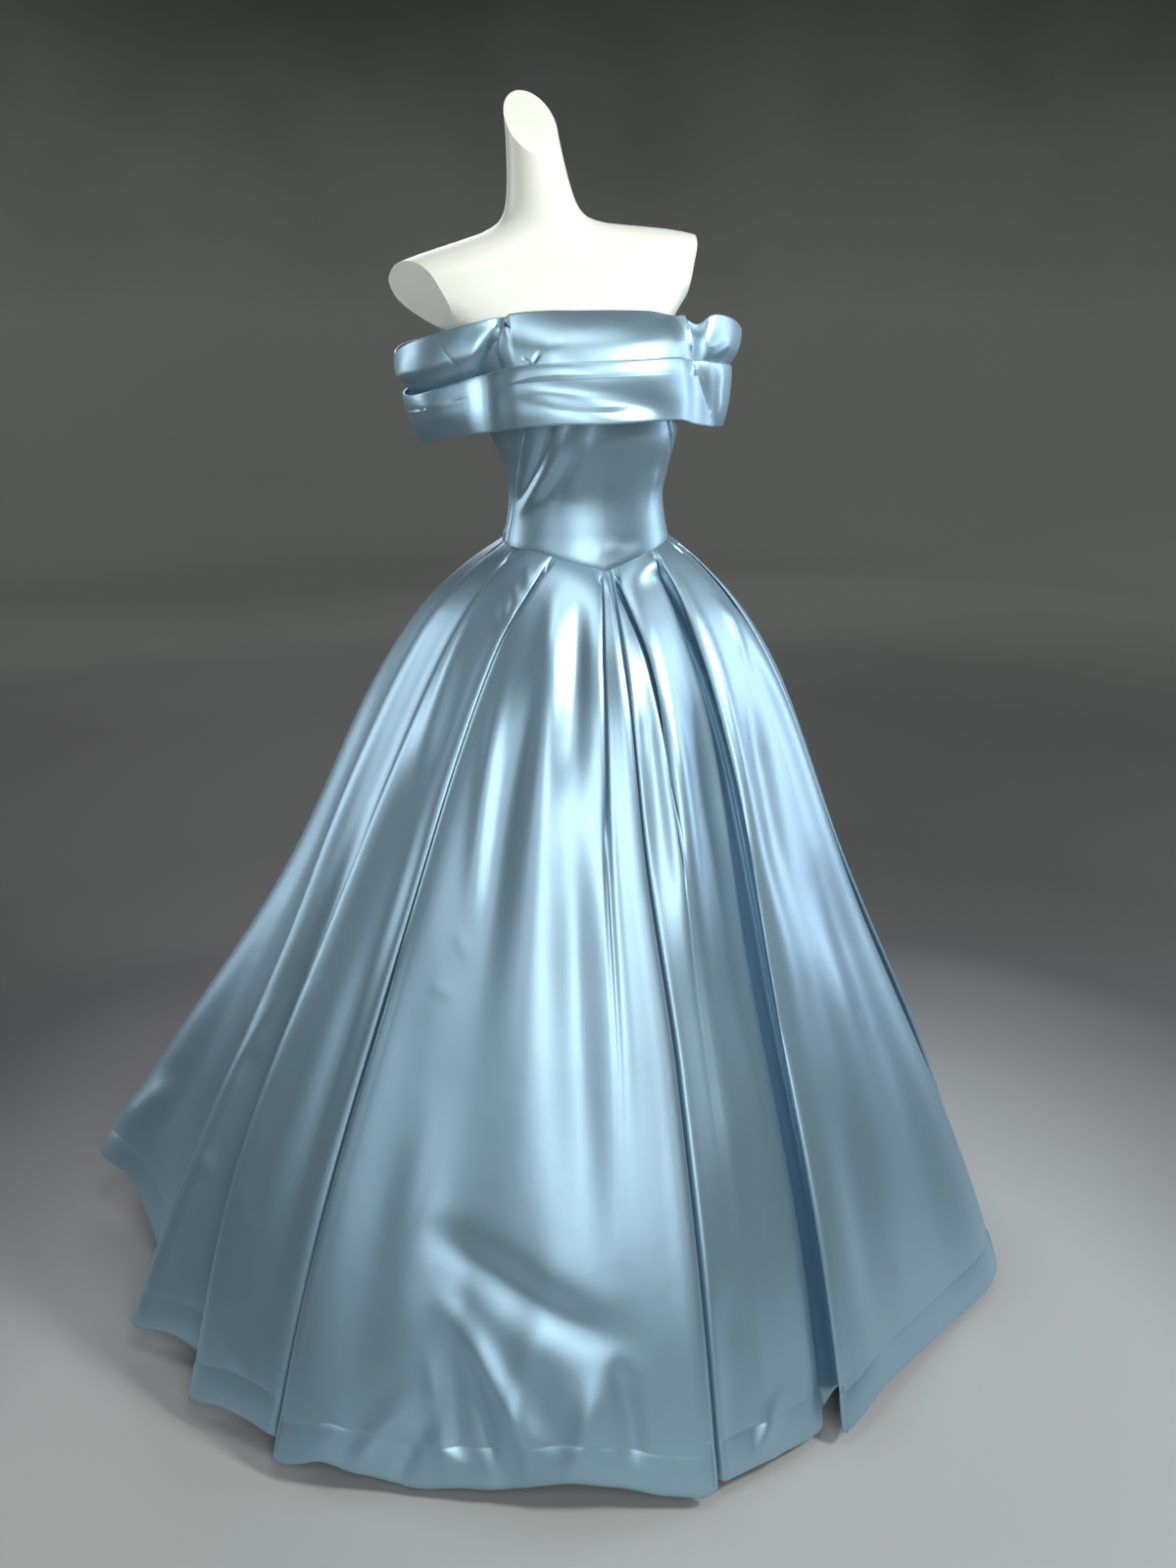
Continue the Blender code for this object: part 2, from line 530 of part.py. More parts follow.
def skirt_row(share):
    """The skirt's level section all the way round, and where in it each pleat's valley is."""
    pleats = pleats_at(share)
    folds = []
    for i, pleat in enumerate(pleats):
        reach = skirt_reach(pleat["angle"], share) + pleat["out"]
        room = []
        for other in (pleats[i - 1], pleats[(i + 1) % len(pleats)]):
            turned = abs((other["angle"] - pleat["angle"] + 180.0) % 360.0 - 180.0)
            room.append(math.radians(turned) * reach)
        behind, ahead = room if pleat["side"] < 0 else room[::-1]
        folds.append(pleat_points(pleat, behind, ahead, share))
    row, valleys = [], {}
    for i, fold in enumerate(folds):
        valleys[pleats[i]["name"]] = len(row) + [point[0] for point in fold].index(True)
        row += fold
        row += face_points(fold[-1], folds[(i + 1) % len(folds)][0], pleats[i]["hollow"], share)
    return [point[1:] for point in row], valleys


def make_skirt(satin):
    outer, inner = [], []
    for share in SKIRT_LEVELS:
        row, valleys = skirt_row(share)
        points = [(x, y, skirt_height(angle, share)) for x, y, angle in row]
        outer.append(np.array(points))
        inner.append(thickened(points, True, CLOTH))
    count = len(outer[0])
    valleys[None] = count - 1  # centre back: the second face point between the last pleat and the first
    for piece, start, end in SKIRT_PANELS:
        first, last = valleys[start], valleys[end]
        if last <= first:
            last += count
        picked = [k % count for k in range(first, last + 1)]
        grids = [np.array([level[picked] for level in grid]) for grid in (outer, inner)]
        wall(piece, *parted(grids, 0.7 * SEAM_GAP), satin)


# ---- the drape bands ----------------------------------------------------------------------------
def closed_curve(points, steps):
    """A smooth closed curve through the points, as that many points for each stretch."""
    points = np.asarray(points, float)
    ahead, behind = np.roll(points, -1, 0) - points, points - np.roll(points, 1, 0)
    long_ahead, long_behind = np.linalg.norm(ahead, axis=1), np.linalg.norm(behind, axis=1)
    tangent = ahead / long_ahead[:, None] + behind / long_behind[:, None]
    tangent /= np.maximum(np.linalg.norm(tangent, axis=1), 1e-9)[:, None]
    made = []
    for i, point in enumerate(points):
        j = (i + 1) % len(points)
        for k in range(steps):
            s = k / steps
            made.append(
                (2 * s**3 - 3 * s**2 + 1) * point
                + (s**3 - 2 * s**2 + s) * long_ahead[i] * tangent[i]
                + (3 * s**2 - 2 * s**3) * points[j]
                + (s**3 - s**2) * long_ahead[i] * tangent[j]
            )
    return np.array(made)


def make_bands(satin):
    stations = rows_of(BAND_COLUMNS, BANDS)
    names = [s["station"] for s in stations]
    edges = {
        level: closed_curve([[s[f"{level}_{axis}"] for axis in "xyz"] for s in stations], BAND_STEPS)
        for level in ("top", "seam", "foot")
    }
    count = len(names) * BAND_STEPS

    def columns(start, end):
        first, last = names.index(start) * BAND_STEPS, names.index(end) * BAND_STEPS
        return [k % count for k in range(first, last + 1 if last > first else last + count + 1)]

    sewn = columns("front_r2", "front_l2") + columns("back_l", "back_r")
    for band, high, low in (("upper", "top", "seam"), ("lower", "seam", "foot")):
        outer, inner = [], []
        for share in BAND_ROWS:
            row = edges[high] * (1 - share) + edges[low] * share
            row[:, 2] += SEAM_GAP / 2 * (1 if band == "upper" else -1)
            outward = row - thickened(row, True, 1.0)
            outward /= np.linalg.norm(outward, axis=1)[:, None]
            row = row + outward * BAND_SWELL * math.sin(math.pi * share)
            if band == "upper" and share < BAND_SEWN:
                row[sewn] = [
                    beside_body(point, bodice_fit(point[2]) + 2 * CLOTH + SEAM_GAP) for point in row[sewn]
                ]
            outer.append(row)
            inner.append(thickened(row, True, CLOTH))
        for piece, start, end in BAND_PIECES:
            picked = columns(start, end)
            grids = [np.array([level[picked] for level in grid]) for grid in (outer, inner)]
            name = f"band_{band}_{piece}" if piece in ("front", "back") else f"{piece}_{band}"
            wall(name, *parted(grids, 0.6 * SEAM_GAP), satin)


# ---- build --------------------------------------------------------------------------------------
for old in list(bpy.data.objects):
    bpy.data.objects.remove(old, do_unlink=True)

ice_satin = paint("ice_blue_satin", (0.33, 0.48, 0.60), 0.32)
white_shell = paint("white_fibreglass", (0.84, 0.85, 0.81), 0.45)
brushed_steel = paint("brushed_steel", (0.60, 0.60, 0.61), 0.35, 1.0)

make_form(white_shell, brushed_steel)
make_bodice(ice_satin)
make_skirt(ice_satin)
make_bands(ice_satin)
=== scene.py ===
"""Looks of an off-the-shoulder ball gown in ice-blue satin, worn by a white limbless dress form.

Metres, +Z up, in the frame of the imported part: the gown faces -Y and the form's right side is at -X.
Angles round the gown are in degrees from the centre front, positive towards +X. A table is in
millimetres or percent where the comment above it says so.
"""

import math
import bmesh
import bpy
import numpy as np
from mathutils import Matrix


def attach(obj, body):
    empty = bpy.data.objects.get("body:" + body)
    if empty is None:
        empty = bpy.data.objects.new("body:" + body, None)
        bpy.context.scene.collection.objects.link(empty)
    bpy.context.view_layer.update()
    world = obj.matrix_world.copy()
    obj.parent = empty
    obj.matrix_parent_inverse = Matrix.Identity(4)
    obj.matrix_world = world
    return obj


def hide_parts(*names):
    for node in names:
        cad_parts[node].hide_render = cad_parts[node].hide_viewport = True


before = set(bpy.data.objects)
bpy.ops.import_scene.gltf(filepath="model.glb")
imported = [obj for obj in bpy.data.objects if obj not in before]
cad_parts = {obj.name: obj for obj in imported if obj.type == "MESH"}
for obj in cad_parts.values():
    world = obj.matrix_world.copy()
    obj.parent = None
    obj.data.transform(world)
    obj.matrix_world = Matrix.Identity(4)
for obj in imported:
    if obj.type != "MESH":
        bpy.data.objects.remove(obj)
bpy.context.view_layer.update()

# ---- the camera ----
# It stands a little above the shoulders and to the gown's right, two metres away, and looks down on
# it through a slightly wide lens.
CAMERA_PLACE = (-0.582, -2.049, 1.540)
CAMERA_DOWN = 20.7  # degrees below level
CAMERA_TURN = -16.0  # degrees from straight ahead
CAMERA_LENS, CAMERA_FILM = 36.45, 36.0  # mm, and the film's are along the picture's long side


def add_object(name, data):
    """A new object of the scene, with that data."""
    added = bpy.data.objects.new(name, data)
    bpy.context.scene.collection.objects.link(added)
    return added


camera_data = bpy.data.cameras.new("camera")
camera_data.lens = CAMERA_LENS
camera_data.sensor_fit = "AUTO"
camera_data.sensor_width = CAMERA_FILM
camera = add_object("camera", camera_data)
camera.location = CAMERA_PLACE
camera.rotation_euler = (math.radians(90.0 - CAMERA_DOWN), 0.0, math.radians(CAMERA_TURN))
bpy.context.scene.camera = camera


# ---- the studio ----
# A matt floor that curves up all round into a grey wall, with painted light in its colour: a painted
# pool of light, pale under the gown and darker further out, paler again in the cove where its shade
# falls, and darker towards the wall's top. Large soft lamps stand high and low in front, at both
# sides, overhead and behind.
FLOOR_RADIUS, COVE_RADIUS, WALL_TOP = 4.6, 1.8, 4.4
STUDIO_TURNS, COVE_STEPS = 96, 12
LAMPS = (
    # name, place, aimed at, width, height, power in watts, colour
    ("key", (2.05, -1.85, 3.1), (0.0, 0.0, 0.80), 0.6, 0.6, 88.0, "#FDFFFB"),
    ("tall_front", (-0.35, -3.10, 2.15), (0.0, 0.0, 0.65), 1.3, 1.9, 42.0, "#FCFFFB"),
    ("low_front", (-0.75, -3.00, 0.85), (0.0, 0.0, 0.25), 1.4, 0.5, 6.0, "#F6FBFF"),
    ("left_front", (-2.3, -2.1, 1.9), (0.0, 0.0, 0.60), 0.8, 1.8, 9.0, "#F6FBFF"),
    ("right_strip", (2.9, 0.1, 1.35), (0.0, 0.0, 0.45), 0.9, 2.0, 27.0, "#EAF2FF"),
    ("left_strip", (-2.5, 1.5, 1.5), (-0.4, 0.2, 0.40), 0.8, 2.0, 22.0, "#FBFDFF"),
    ("overhead", (0.0, -0.9, 3.9), (0.0, 0.0, 0.90), 1.5, 1.1, 20.0, "#FDFFFB"),
    ("behind", (0.2, 3.2, 2.3), (0.0, 0.1, 0.80), 1.6, 1.8, 28.0, "#FBFBFF"),
)
PAINTED_LIGHT_POOL_CENTRE = (-0.08, -0.45, 0.0)
PAINTED_LIGHT_POOL = (
    # metres from the painted light pool's centre, and the colour painted there
    (0.0, "#A8AAAA"), (0.80, "#A4A6A6"), (1.15, "#838485"), (1.55, "#565656"), (2.1, "#525351"),
    (3.2, "#636462"), (3.8, "#787977"), (4.4, "#A0A19E"), (4.9, "#BEBFBC"), (5.4, "#BBBDB9"),
    (6.0, "#AFB1AD"), (6.7, "#AAACA5"), (7.0, "#90928C"), (7.3, "#50524E"),
)
PAINTED_LIGHT_POOL_EDGE = 8.0
PAINTED_LIGHT_POOL_UNEVEN = 0.4  # metres by which the rims of the painted light pool's colours wander
AIR_COLOUR, AIR_LIGHT = "#8C8E8F", 0.08


def linear(hex_colour):
    """An sRGB colour in linear light."""
    parts = [int(hex_colour[i : i + 2], 16) / 255.0 for i in (1, 3, 5)]
    return tuple(c / 12.92 if c <= 0.04045 else ((c + 0.055) / 1.055) ** 2.4 for c in parts) + (1.0,)


def set_inputs(tree, node, inputs):
    """Gives each input its value, or joins it to another node's output socket."""
    for name, value in inputs.items():
        if isinstance(value, bpy.types.NodeSocket):
            tree.links.new(value, node.inputs[name])
        else:
            node.inputs[name].default_value = value


def add_node(tree, kind, inputs, output, **settings):
    """The output socket of a new node."""
    node = tree.nodes.new(f"ShaderNode{kind}")
    for name, value in settings.items():
        setattr(node, name, value)
    set_inputs(tree, node, inputs)
    return node.outputs[output]


def noise(tree, vector, scale, detail=2.0, distortion=0.0):
    inputs = {"Vector": vector, "Scale": scale, "Detail": detail, "Distortion": distortion}
    return add_node(tree, "TexNoise", inputs, "Fac")


def ramp(tree, factor, stops):
    """A colour ramp through (place, grey or colour) stops."""
    node = tree.nodes.new("ShaderNodeValToRGB")
    set_inputs(tree, node, {"Fac": factor})
    elements = node.color_ramp.elements
    while len(elements) < len(stops):
        elements.new(0.5)
    for element, (place, value) in zip(elements, stops):
        element.position = place
        element.color = linear(value) if isinstance(value, str) else (value, value, value, 1.0)
    return node.outputs["Color"]


def new_material(name):
    """A new material, its nodes, and the object's own coordinates as a socket."""
    material = bpy.data.materials.new(name)
    material.use_nodes = True
    tree = material.node_tree
    return material, tree, add_node(tree, "TexCoord", {}, "Object")


def shade(tree, inputs):
    set_inputs(tree, tree.nodes["Principled BSDF"], inputs)


def add_mesh(name, bm, material):
    mesh = bpy.data.meshes.new(name)
    bm.to_mesh(mesh)
    bm.free()
    mesh.materials.append(material)
    mesh.shade_smooth()
    return add_object(name, mesh)


# The studio's colour is painted light: a pool of light and shade, by distance from the gown.
studio_material, tree, place = new_material("matt_studio_paint_with_painted_light")
mottle = noise(tree, place, 0.7, 3.0)
distance = add_node(tree, "VectorMath", {0: place, 1: PAINTED_LIGHT_POOL_CENTRE}, "Value", operation="DISTANCE")
wander = {0: mottle, 1: PAINTED_LIGHT_POOL_UNEVEN, 2: distance}
uneven = add_node(tree, "Math", wander, "Value", operation="MULTIPLY_ADD")
spread = {"Value": uneven, "From Min": PAINTED_LIGHT_POOL_UNEVEN / 2, "From Max": PAINTED_LIGHT_POOL_UNEVEN / 2 + PAINTED_LIGHT_POOL_EDGE}
reached = add_node(tree, "MapRange", spread, "Result")
# Painted light: paler under the gown, darker further out, and paler again in the cove where shade
# falls.
painted_light_pool = ramp(tree, reached, [(reach / PAINTED_LIGHT_POOL_EDGE, tone) for reach, tone in PAINTED_LIGHT_POOL])
shade(tree, {"Base Color": painted_light_pool, "Roughness": 0.6})

bm = bmesh.new()
profile = [(0.0, 0.0), (FLOOR_RADIUS, 0.0)]
for i in range(1, COVE_STEPS + 1):
    turn = math.pi / 2 * i / COVE_STEPS
    profile.append((FLOOR_RADIUS + COVE_RADIUS * math.sin(turn), COVE_RADIUS * (1 - math.cos(turn))))
profile.append((FLOOR_RADIUS + COVE_RADIUS, WALL_TOP))
verts = [bm.verts.new((reach, 0.0, height)) for reach, height in profile]
edges = [bm.edges.new(pair) for pair in zip(verts, verts[1:])]
bmesh.ops.spin(
    bm, geom=verts + edges, axis=(0, 0, 1), angle=2 * math.pi, steps=STUDIO_TURNS, use_merge=True
)
bmesh.ops.remove_doubles(bm, verts=bm.verts, dist=1e-5)
bmesh.ops.recalc_face_normals(bm, faces=bm.faces)
bmesh.ops.reverse_faces(bm, faces=bm.faces)
studio = add_mesh("studio", bm, studio_material)

for name, spot, target, width, height, power, colour in LAMPS:
    light = bpy.data.lights.new(name, "AREA")
    light.shape = "RECTANGLE"
    light.size, light.size_y = width, height
    light.energy = power
    light.color = linear(colour)[:3]
    lamp = add_object(name, light)
    lamp.location = spot
    ahead = np.array(target) - np.array(spot)
    down = math.acos(-ahead[2] / np.linalg.norm(ahead))
    lamp.rotation_euler = (down, 0.0, math.atan2(ahead[1], ahead[0]) - math.pi / 2)
    lamp.visible_camera = False

world = bpy.data.worlds.new("studio_air")
world.use_nodes = True
air = world.node_tree.nodes["Background"]
set_inputs(world.node_tree, air, {"Color": linear(AIR_COLOUR), "Strength": AIR_LIGHT})
bpy.context.scene.world = world
bpy.context.scene.view_settings.view_transform = "Standard"


# ---- the dress form ----
# A limbless display form: a moulded fibreglass shell, filled, sanded and sprayed white. Its neck ends
# in a slanted cut and its arms in flat ones, all with a small rounded edge.
WAIST_CENTRE = (0.0, -0.008)
FORM_COLUMNS = ("height", "half_width", "front", "back", "square")  # square: 2 for an ellipse
FORM_SECTIONS = (
    (0.900, 0.126, 0.095, 0.108, 2.2),
    (0.930, 0.143, 0.104, 0.118, 2.2),
    (0.980, 0.149, 0.106, 0.121, 2.2),
    (1.030, 0.137, 0.101, 0.110, 2.2),
    (1.075, 0.1165, 0.094, 0.096, 2.1),
    (1.115, 0.105, 0.086, 0.086, 2.1),
    (1.155, 0.1005, 0.082, 0.083, 2.1),
    (1.195, 0.107, 0.087, 0.087, 2.1),
    (1.240, 0.122, 0.098, 0.094, 2.1),
    (1.290, 0.132, 0.112, 0.100, 2.2),
    (1.325, 0.138, 0.118, 0.103, 2.2),
    (1.360, 0.148, 0.108, 0.103, 2.2),
    (1.390, 0.176, 0.092, 0.098, 2.3),
    (1.420, 0.212, 0.078, 0.090, 2.4),
    (1.442, 0.226, 0.067, 0.079, 2.4),
    (1.458, 0.208, 0.060, 0.068, 2.2),
    (1.470, 0.168, 0.055, 0.060, 2.0),
    (1.479, 0.122, 0.051, 0.055, 2.0),
    (1.487, 0.082, 0.049, 0.052, 2.0),
    (1.497, 0.0585, 0.046, 0.048, 2.0),
    (1.512, 0.0475, 0.043, 0.044, 2.0),
    (1.535, 0.0415, 0.040, 0.0405, 2.0),
    (1.570, 0.0365, 0.036, 0.0365, 2.0),
    (1.610, 0.0330, 0.033, 0.0335, 2.0),
    (1.680, 0.0305, 0.0305, 0.0305, 2.0),
)
LEAN_FROM, LEAN_TO = 1.20, 1.45
LEAN_SIDE, LEAN_BACK = -0.034, 0.058
LEAN_RISE = 0.085  # how much the body rises for each metre to its left
RISE_FROM, RISE_GONE = 1.30, (1.47, 1.54)  # the heights where that starts, and over which it ends
NECK_SIDE, NECK_BACK = -0.09, 0.17
NECK_CUT, NECK_CUT_TILT = (0.077, 1.615), 44.3
# side, x at the shoulder, and degrees that the cut looks down and forwards
ARM_CUTS = ((-1, 0.181, 12.0, 24.0), (1, 0.190, 19.0, 8.0))
SHOULDER, ARMPIT = 1.430, 1.31
FORM_EDGE, FORM_EDGE_STEPS = 0.0022, 3  # radius of the cut edges, and faces round it
SHARP_EDGE, ROUNDED_EDGE = 40.0, 35.0  # degrees between two faces, from which their edge is that
FORM_ROWS, FORM_ANGLES = 150, 120

form_stops = dict(zip(FORM_COLUMNS, zip(*FORM_SECTIONS)))


def smooth(edge_0, edge_1, x):
    """0 below edge_0, 1 above edge_1, and an S-shaped ramp between them."""
    s = np.clip((x - edge_0) / (edge_1 - edge_0), 0.0, 1.0)
    return s * s * (3.0 - 2.0 * s)


def between(here, leaving, after, arriving, s):
    """The place at share s of a stretch, from its two ends and the curve's slopes there."""
    return (
        (2 * s**3 - 3 * s**2 + 1) * here
        + (s**3 - 2 * s**2 + s) * leaving
        + (3 * s**2 - 2 * s**3) * after
        + (s**3 - s**2) * arriving
    )


def curve_at(stops, values, x):
    """A smooth curve through (stops, values), read at x, which never overshoots between two stops."""
    stops, values = np.asarray(stops, float), np.asarray(values, float)
    slopes = np.diff(values) / np.diff(stops)
    before, after = slopes[:-1], slopes[1:]
    steady = before * after > 0
    inner = np.where(steady, 2.0 * before * after / np.where(steady, before + after, 1.0), 0.0)
    tangents = np.concatenate([slopes[:1], inner, slopes[-1:]])
    x = np.clip(x, stops[0], stops[-1])
    i = np.clip(np.searchsorted(stops, x, side="right") - 1, 0, len(slopes) - 1)
    width = stops[i + 1] - stops[i]
    s = (x - stops[i]) / width
    return between(values[i], width * tangents[i], values[i + 1], width * tangents[i + 1], s)


def form_size(column, height):
    return curve_at(form_stops["height"], form_stops[column], height)


def lean(x, y, z):
    """The stance: the upper body leans back and to its right, and the neck goes on from there."""
    share = smooth(LEAN_FROM, LEAN_TO, z)
    above = np.maximum(0.0, z - LEAN_TO)
    rise = LEAN_RISE * x * smooth(RISE_FROM, LEAN_TO, z) * (1.0 - smooth(*RISE_GONE, z))
    side = x + LEAN_SIDE * share + NECK_SIDE * above
    return np.stack([side, y + LEAN_BACK * share + NECK_BACK * above, z + rise], -1)


def upright_body(angle, height, away):
    """Points at those angles and heights that lie this far off the form, before the form leans."""
    turn = np.radians(angle)
    across, ahead = np.sin(turn), -np.cos(turn)
    half = form_size("half_width", height) + away
    deep = np.where(ahead < 0, form_size("front", height), form_size("back", height)) + away
    square = form_size("square", height)
    reach = (np.abs(across / half) ** square + np.abs(ahead / deep) ** square) ** (-1.0 / square)
    x, y = WAIST_CENTRE[0] + reach * across, WAIST_CENTRE[1] + reach * ahead
    return np.stack([x, y, height + 0.0 * x], -1)


def on_body(angle, height, away):
    return lean(*np.moveaxis(upright_body(angle, height, away), -1, 0))


def cut_flat(bm, point, normal, above):
    """Cuts off what lies beyond a plane, where the form is above a height, and closes the cut."""
    faces = [f for f in bm.faces if min(v.co.z for v in f.verts) > above]
    # Each vertex and edge once, and in the same order in every run.
    verts = dict.fromkeys(v for f in faces for v in f.verts)
    edges = dict.fromkeys(e for f in faces for e in f.edges)
    reached = [*verts, *edges, *faces]
    cut = bmesh.ops.bisect_plane(
        bm, geom=reached, dist=1e-6, plane_co=point, plane_no=normal, clear_outer=True
    )
    rim = [e for e in cut["geom_cut"] if isinstance(e, bmesh.types.BMEdge)]
    bmesh.ops.holes_fill(bm, edges=rim, sides=0)


def grid_of(points):
    """A grid whose vertices lie at an array of points, row by row."""
    rows, columns = points.shape[:2]
    bm = bmesh.new()
    bmesh.ops.create_grid(bm, x_segments=columns - 1, y_segments=rows - 1, size=1.0)
    for vert, point in zip(bm.verts, points.reshape(-1, 3)):
        vert.co = point
    return bm


def add_piece(name, bm, material):
    piece = add_mesh(name, bm, material)
    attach(piece, "root")
    return piece


def bump(tree, height, strength, distance, **beneath):
    """The normals of a relief this many metres high, over those of another one if given."""
    inputs = {"Height": height, "Strength": strength, "Distance": distance, **beneath}
    return add_node(tree, "Bump", inputs, "Normal")


form_material, tree, place = new_material("sprayed_white_fibreglass")
tone = noise(tree, place, 9.0)
# Sprayed paint dries with a faint orange peel about a millimetre and a half across.
peel = noise(tree, place, 1 / 0.0015, 1.0)
shade(
    tree,
    {
        "Base Color": ramp(tree, tone, ((0.3, "#E2E4DC"), (0.7, "#E7E9E1"))),
        "Roughness": 0.38,
        "Normal": bump(tree, peel, 0.05, 0.0004),
    },
)

heights = np.linspace(FORM_SECTIONS[0][0], FORM_SECTIONS[-1][0], FORM_ROWS)
angles = np.linspace(-180.0, 180.0, FORM_ANGLES + 1)
bm = grid_of(upright_body(angles[None, :], heights[:, None], 0.0))
bmesh.ops.remove_doubles(bm, verts=bm.verts, dist=1e-6)
bmesh.ops.holes_fill(bm, edges=[e for e in bm.edges if e.is_boundary], sides=0)
for side, x, down, ahead in ARM_CUTS:
    down, ahead = math.radians(down), math.radians(ahead)
    level = (side * math.cos(ahead), -math.sin(ahead))
    normal = (level[0] * math.cos(down), level[1] * math.cos(down), -math.sin(down))
    cut_flat(bm, (side * x, WAIST_CENTRE[1], SHOULDER), normal, ARMPIT)
for vert in bm.verts:
    vert.co = lean(*vert.co)
tilt = math.radians(NECK_CUT_TILT)
cut_flat(bm, (0.0, *NECK_CUT), (0.0, -math.sin(tilt), math.cos(tilt)), SHOULDER)
bmesh.ops.recalc_face_normals(bm, faces=bm.faces)
form = add_piece("dress_form", bm, form_material)
form.data.set_sharp_from_angle(angle=math.radians(SHARP_EDGE))
rounding = form.modifiers.new("rounded_cuts", "BEVEL")
rounding.width, rounding.segments, rounding.limit_method = FORM_EDGE, FORM_EDGE_STEPS, "ANGLE"
rounding.angle_limit = math.radians(ROUNDED_EDGE)
rounding.harden_normals = True
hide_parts("form_torso")


# ---- the stand ----
# A steel tube up into the form from a round steel plate. The tube is brushed along its length and the
# plate is powder coated white, with a fine grain.
pole_material, tree, place = new_material("brushed_steel_tube")
# Brushing leaves lines about half a millimetre apart and a few centimetres long.
lines = {"Vector": place, "Scale": (1 / 0.0005, 1 / 0.0005, 1 / 0.04)}
grain = noise(tree, add_node(tree, "Mapping", lines, "Vector"), 1.0)
shade(
    tree,
    {
        "Base Color": ramp(tree, grain, ((0.3, "#A3A3A4"), (0.7, "#C6C6C6"))),
        "Roughness": ramp(tree, grain, ((0.3, 0.28), (0.7, 0.42))),
        "Metallic": 1.0,
    },
)

base_material, tree, place = new_material("powder_coated_steel")
grain = noise(tree, place, 1 / 0.0012)
shade(
    tree,
    {
        "Base Color": ramp(tree, grain, ((0.3, "#DFE0DA"), (0.7, "#EBECE6"))),
        "Roughness": 0.5,
        "Normal": bump(tree, grain, 0.25, 0.0003),
    },
)

for node, material in (("form_pole", pole_material), ("form_base", base_material)):
    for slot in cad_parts[node].material_slots:
        slot.material = material


# ---- the satin ----
# Duchess satin in polyester: long warp floats lie side by side on the face, so it is smooth, with a
# broad soft gloss that runs across the warp, over a pale blue that deepens where it turns away.
CLOTH = 0.0018
MM = 0.001

satin, tree, place = new_material("duchess_satin")
cut = add_node(tree, "UVMap", {}, "UV", uv_map="cloth")
cast = noise(tree, place, 3.0)
# The warp floats are a tenth of a millimetre wide. They are drawn 0.7 mm wide and 25 mm long here, so
# that their slight unevenness shows.
floats = {"Vector": cut, "Scale": (1 / 0.0007, 1 / 0.025, 1.0)}
streaks = noise(tree, add_node(tree, "Mapping", floats, "Vector"), 1.0)
weave = bump(tree, streaks, 0.10, 0.0002)
# Handling leaves soft dents a few centimetres across, shallower than a crease.
dents = noise(tree, place, 1 / 0.06, 3.0, 0.6)
shade(
    tree,
    {
        "Base Color": ramp(tree, cast, ((0.3, "#98B7CA"), (0.7, "#9FBED0"))),
        "Roughness": ramp(tree, streaks, ((0.25, 0.35), (0.75, 0.41))),
        "Normal": bump(tree, dents, 0.22, 0.0016, Normal=weave),
        "Tangent": add_node(tree, "Tangent", {}, "Tangent", direction_type="UV_MAP", uv_map="cloth"),
        "Metallic": 0.80,
        "Anisotropic": 0.45,
        "Sheen Weight": 0.06,
        "Sheen Roughness": 0.35,
        "Sheen Tint": linear("#DDF0FA"),
    },
)

CREASE_STEPS = 10  # straight steps by which a crease's curve is followed
FADED_IN, FADING_OUT = 0.35, 0.55  # a crease is whole between these shares of its length


def beside_curve(stops, across, down, across_size, down_size):
    """Each point's distance from a curve through three points, and its share of the way along it.

    across and down are the cloth's own coordinates, and the two sizes are their units in metres. The
    distance is positive on the curve's +across side, for a curve that runs down the cloth.
    """
    a_0, d_0, a_1, d_1, a_2, d_2 = stops
    steps = np.linspace(0.0, 1.0, CREASE_STEPS + 1)
    start, middle, end = (1 - steps) * (1 - 2 * steps), 4 * steps * (1 - steps), steps * (2 * steps - 1)
    a = a_0 * start + a_1 * middle + a_2 * end
    d = d_0 * start + d_1 * middle + d_2 * end
    nearest = np.full(np.broadcast(across, down).shape, 1e9)
    along, side = np.zeros(nearest.shape), np.ones(nearest.shape)
    for k in range(CREASE_STEPS):
        ax, dx = (a[k + 1] - a[k]) * across_size, (d[k + 1] - d[k]) * down_size
        px, py = (across - a[k]) * across_size, (down - d[k]) * down_size
        t = np.clip((px * ax + py * dx) / np.maximum(ax * ax + dx * dx, 1e-12), 0.0, 1.0)
        gap = (px - t * ax) ** 2 + (py - t * dx) ** 2
        closer = gap < nearest
        nearest = np.where(closer, gap, nearest)
        along = np.where(closer, (k + t) / CREASE_STEPS, along)
        side = np.where(closer, np.sign(px * dx - py * ax), side)
    return side * np.sqrt(nearest), along


def bell(x):
    """1 at 0, falling off alike on both sides."""
    return np.exp(-(x**2))


def creased(creases, across, down, across_size, down_size):
    """How far the cloth stands out at each point, from creases that are curves through three points.

    A crease fades in and out at its ends, and is a ridge if its depth is positive. Its width at the
    start and the end and its depth are in millimetres.
    """
    relief = np.zeros(np.broadcast(across, down).shape)
    for *stops, width_0, width_2, depth in creases:
        beside, along = beside_curve(stops, across, down, across_size, down_size)
        width = (width_0 + (width_2 - width_0) * along) * MM
        fade = smooth(0.0, FADED_IN, along) * (1.0 - smooth(FADING_OUT, 1.0, along))
        relief += depth * MM * fade * bell(beside / width)
    return relief


def unit(vectors):
    return vectors / np.maximum(np.linalg.norm(vectors, axis=-1, keepdims=True), 1e-9)


def outward_of(points, closed):
    """Unit normals of a grid of points, away from the inside of the gown."""
    if closed:
        across = np.roll(points, -1, 1) - np.roll(points, 1, 1)
    else:
        across = np.gradient(points, axis=1)
    return unit(np.cross(np.gradient(points, axis=0), across))


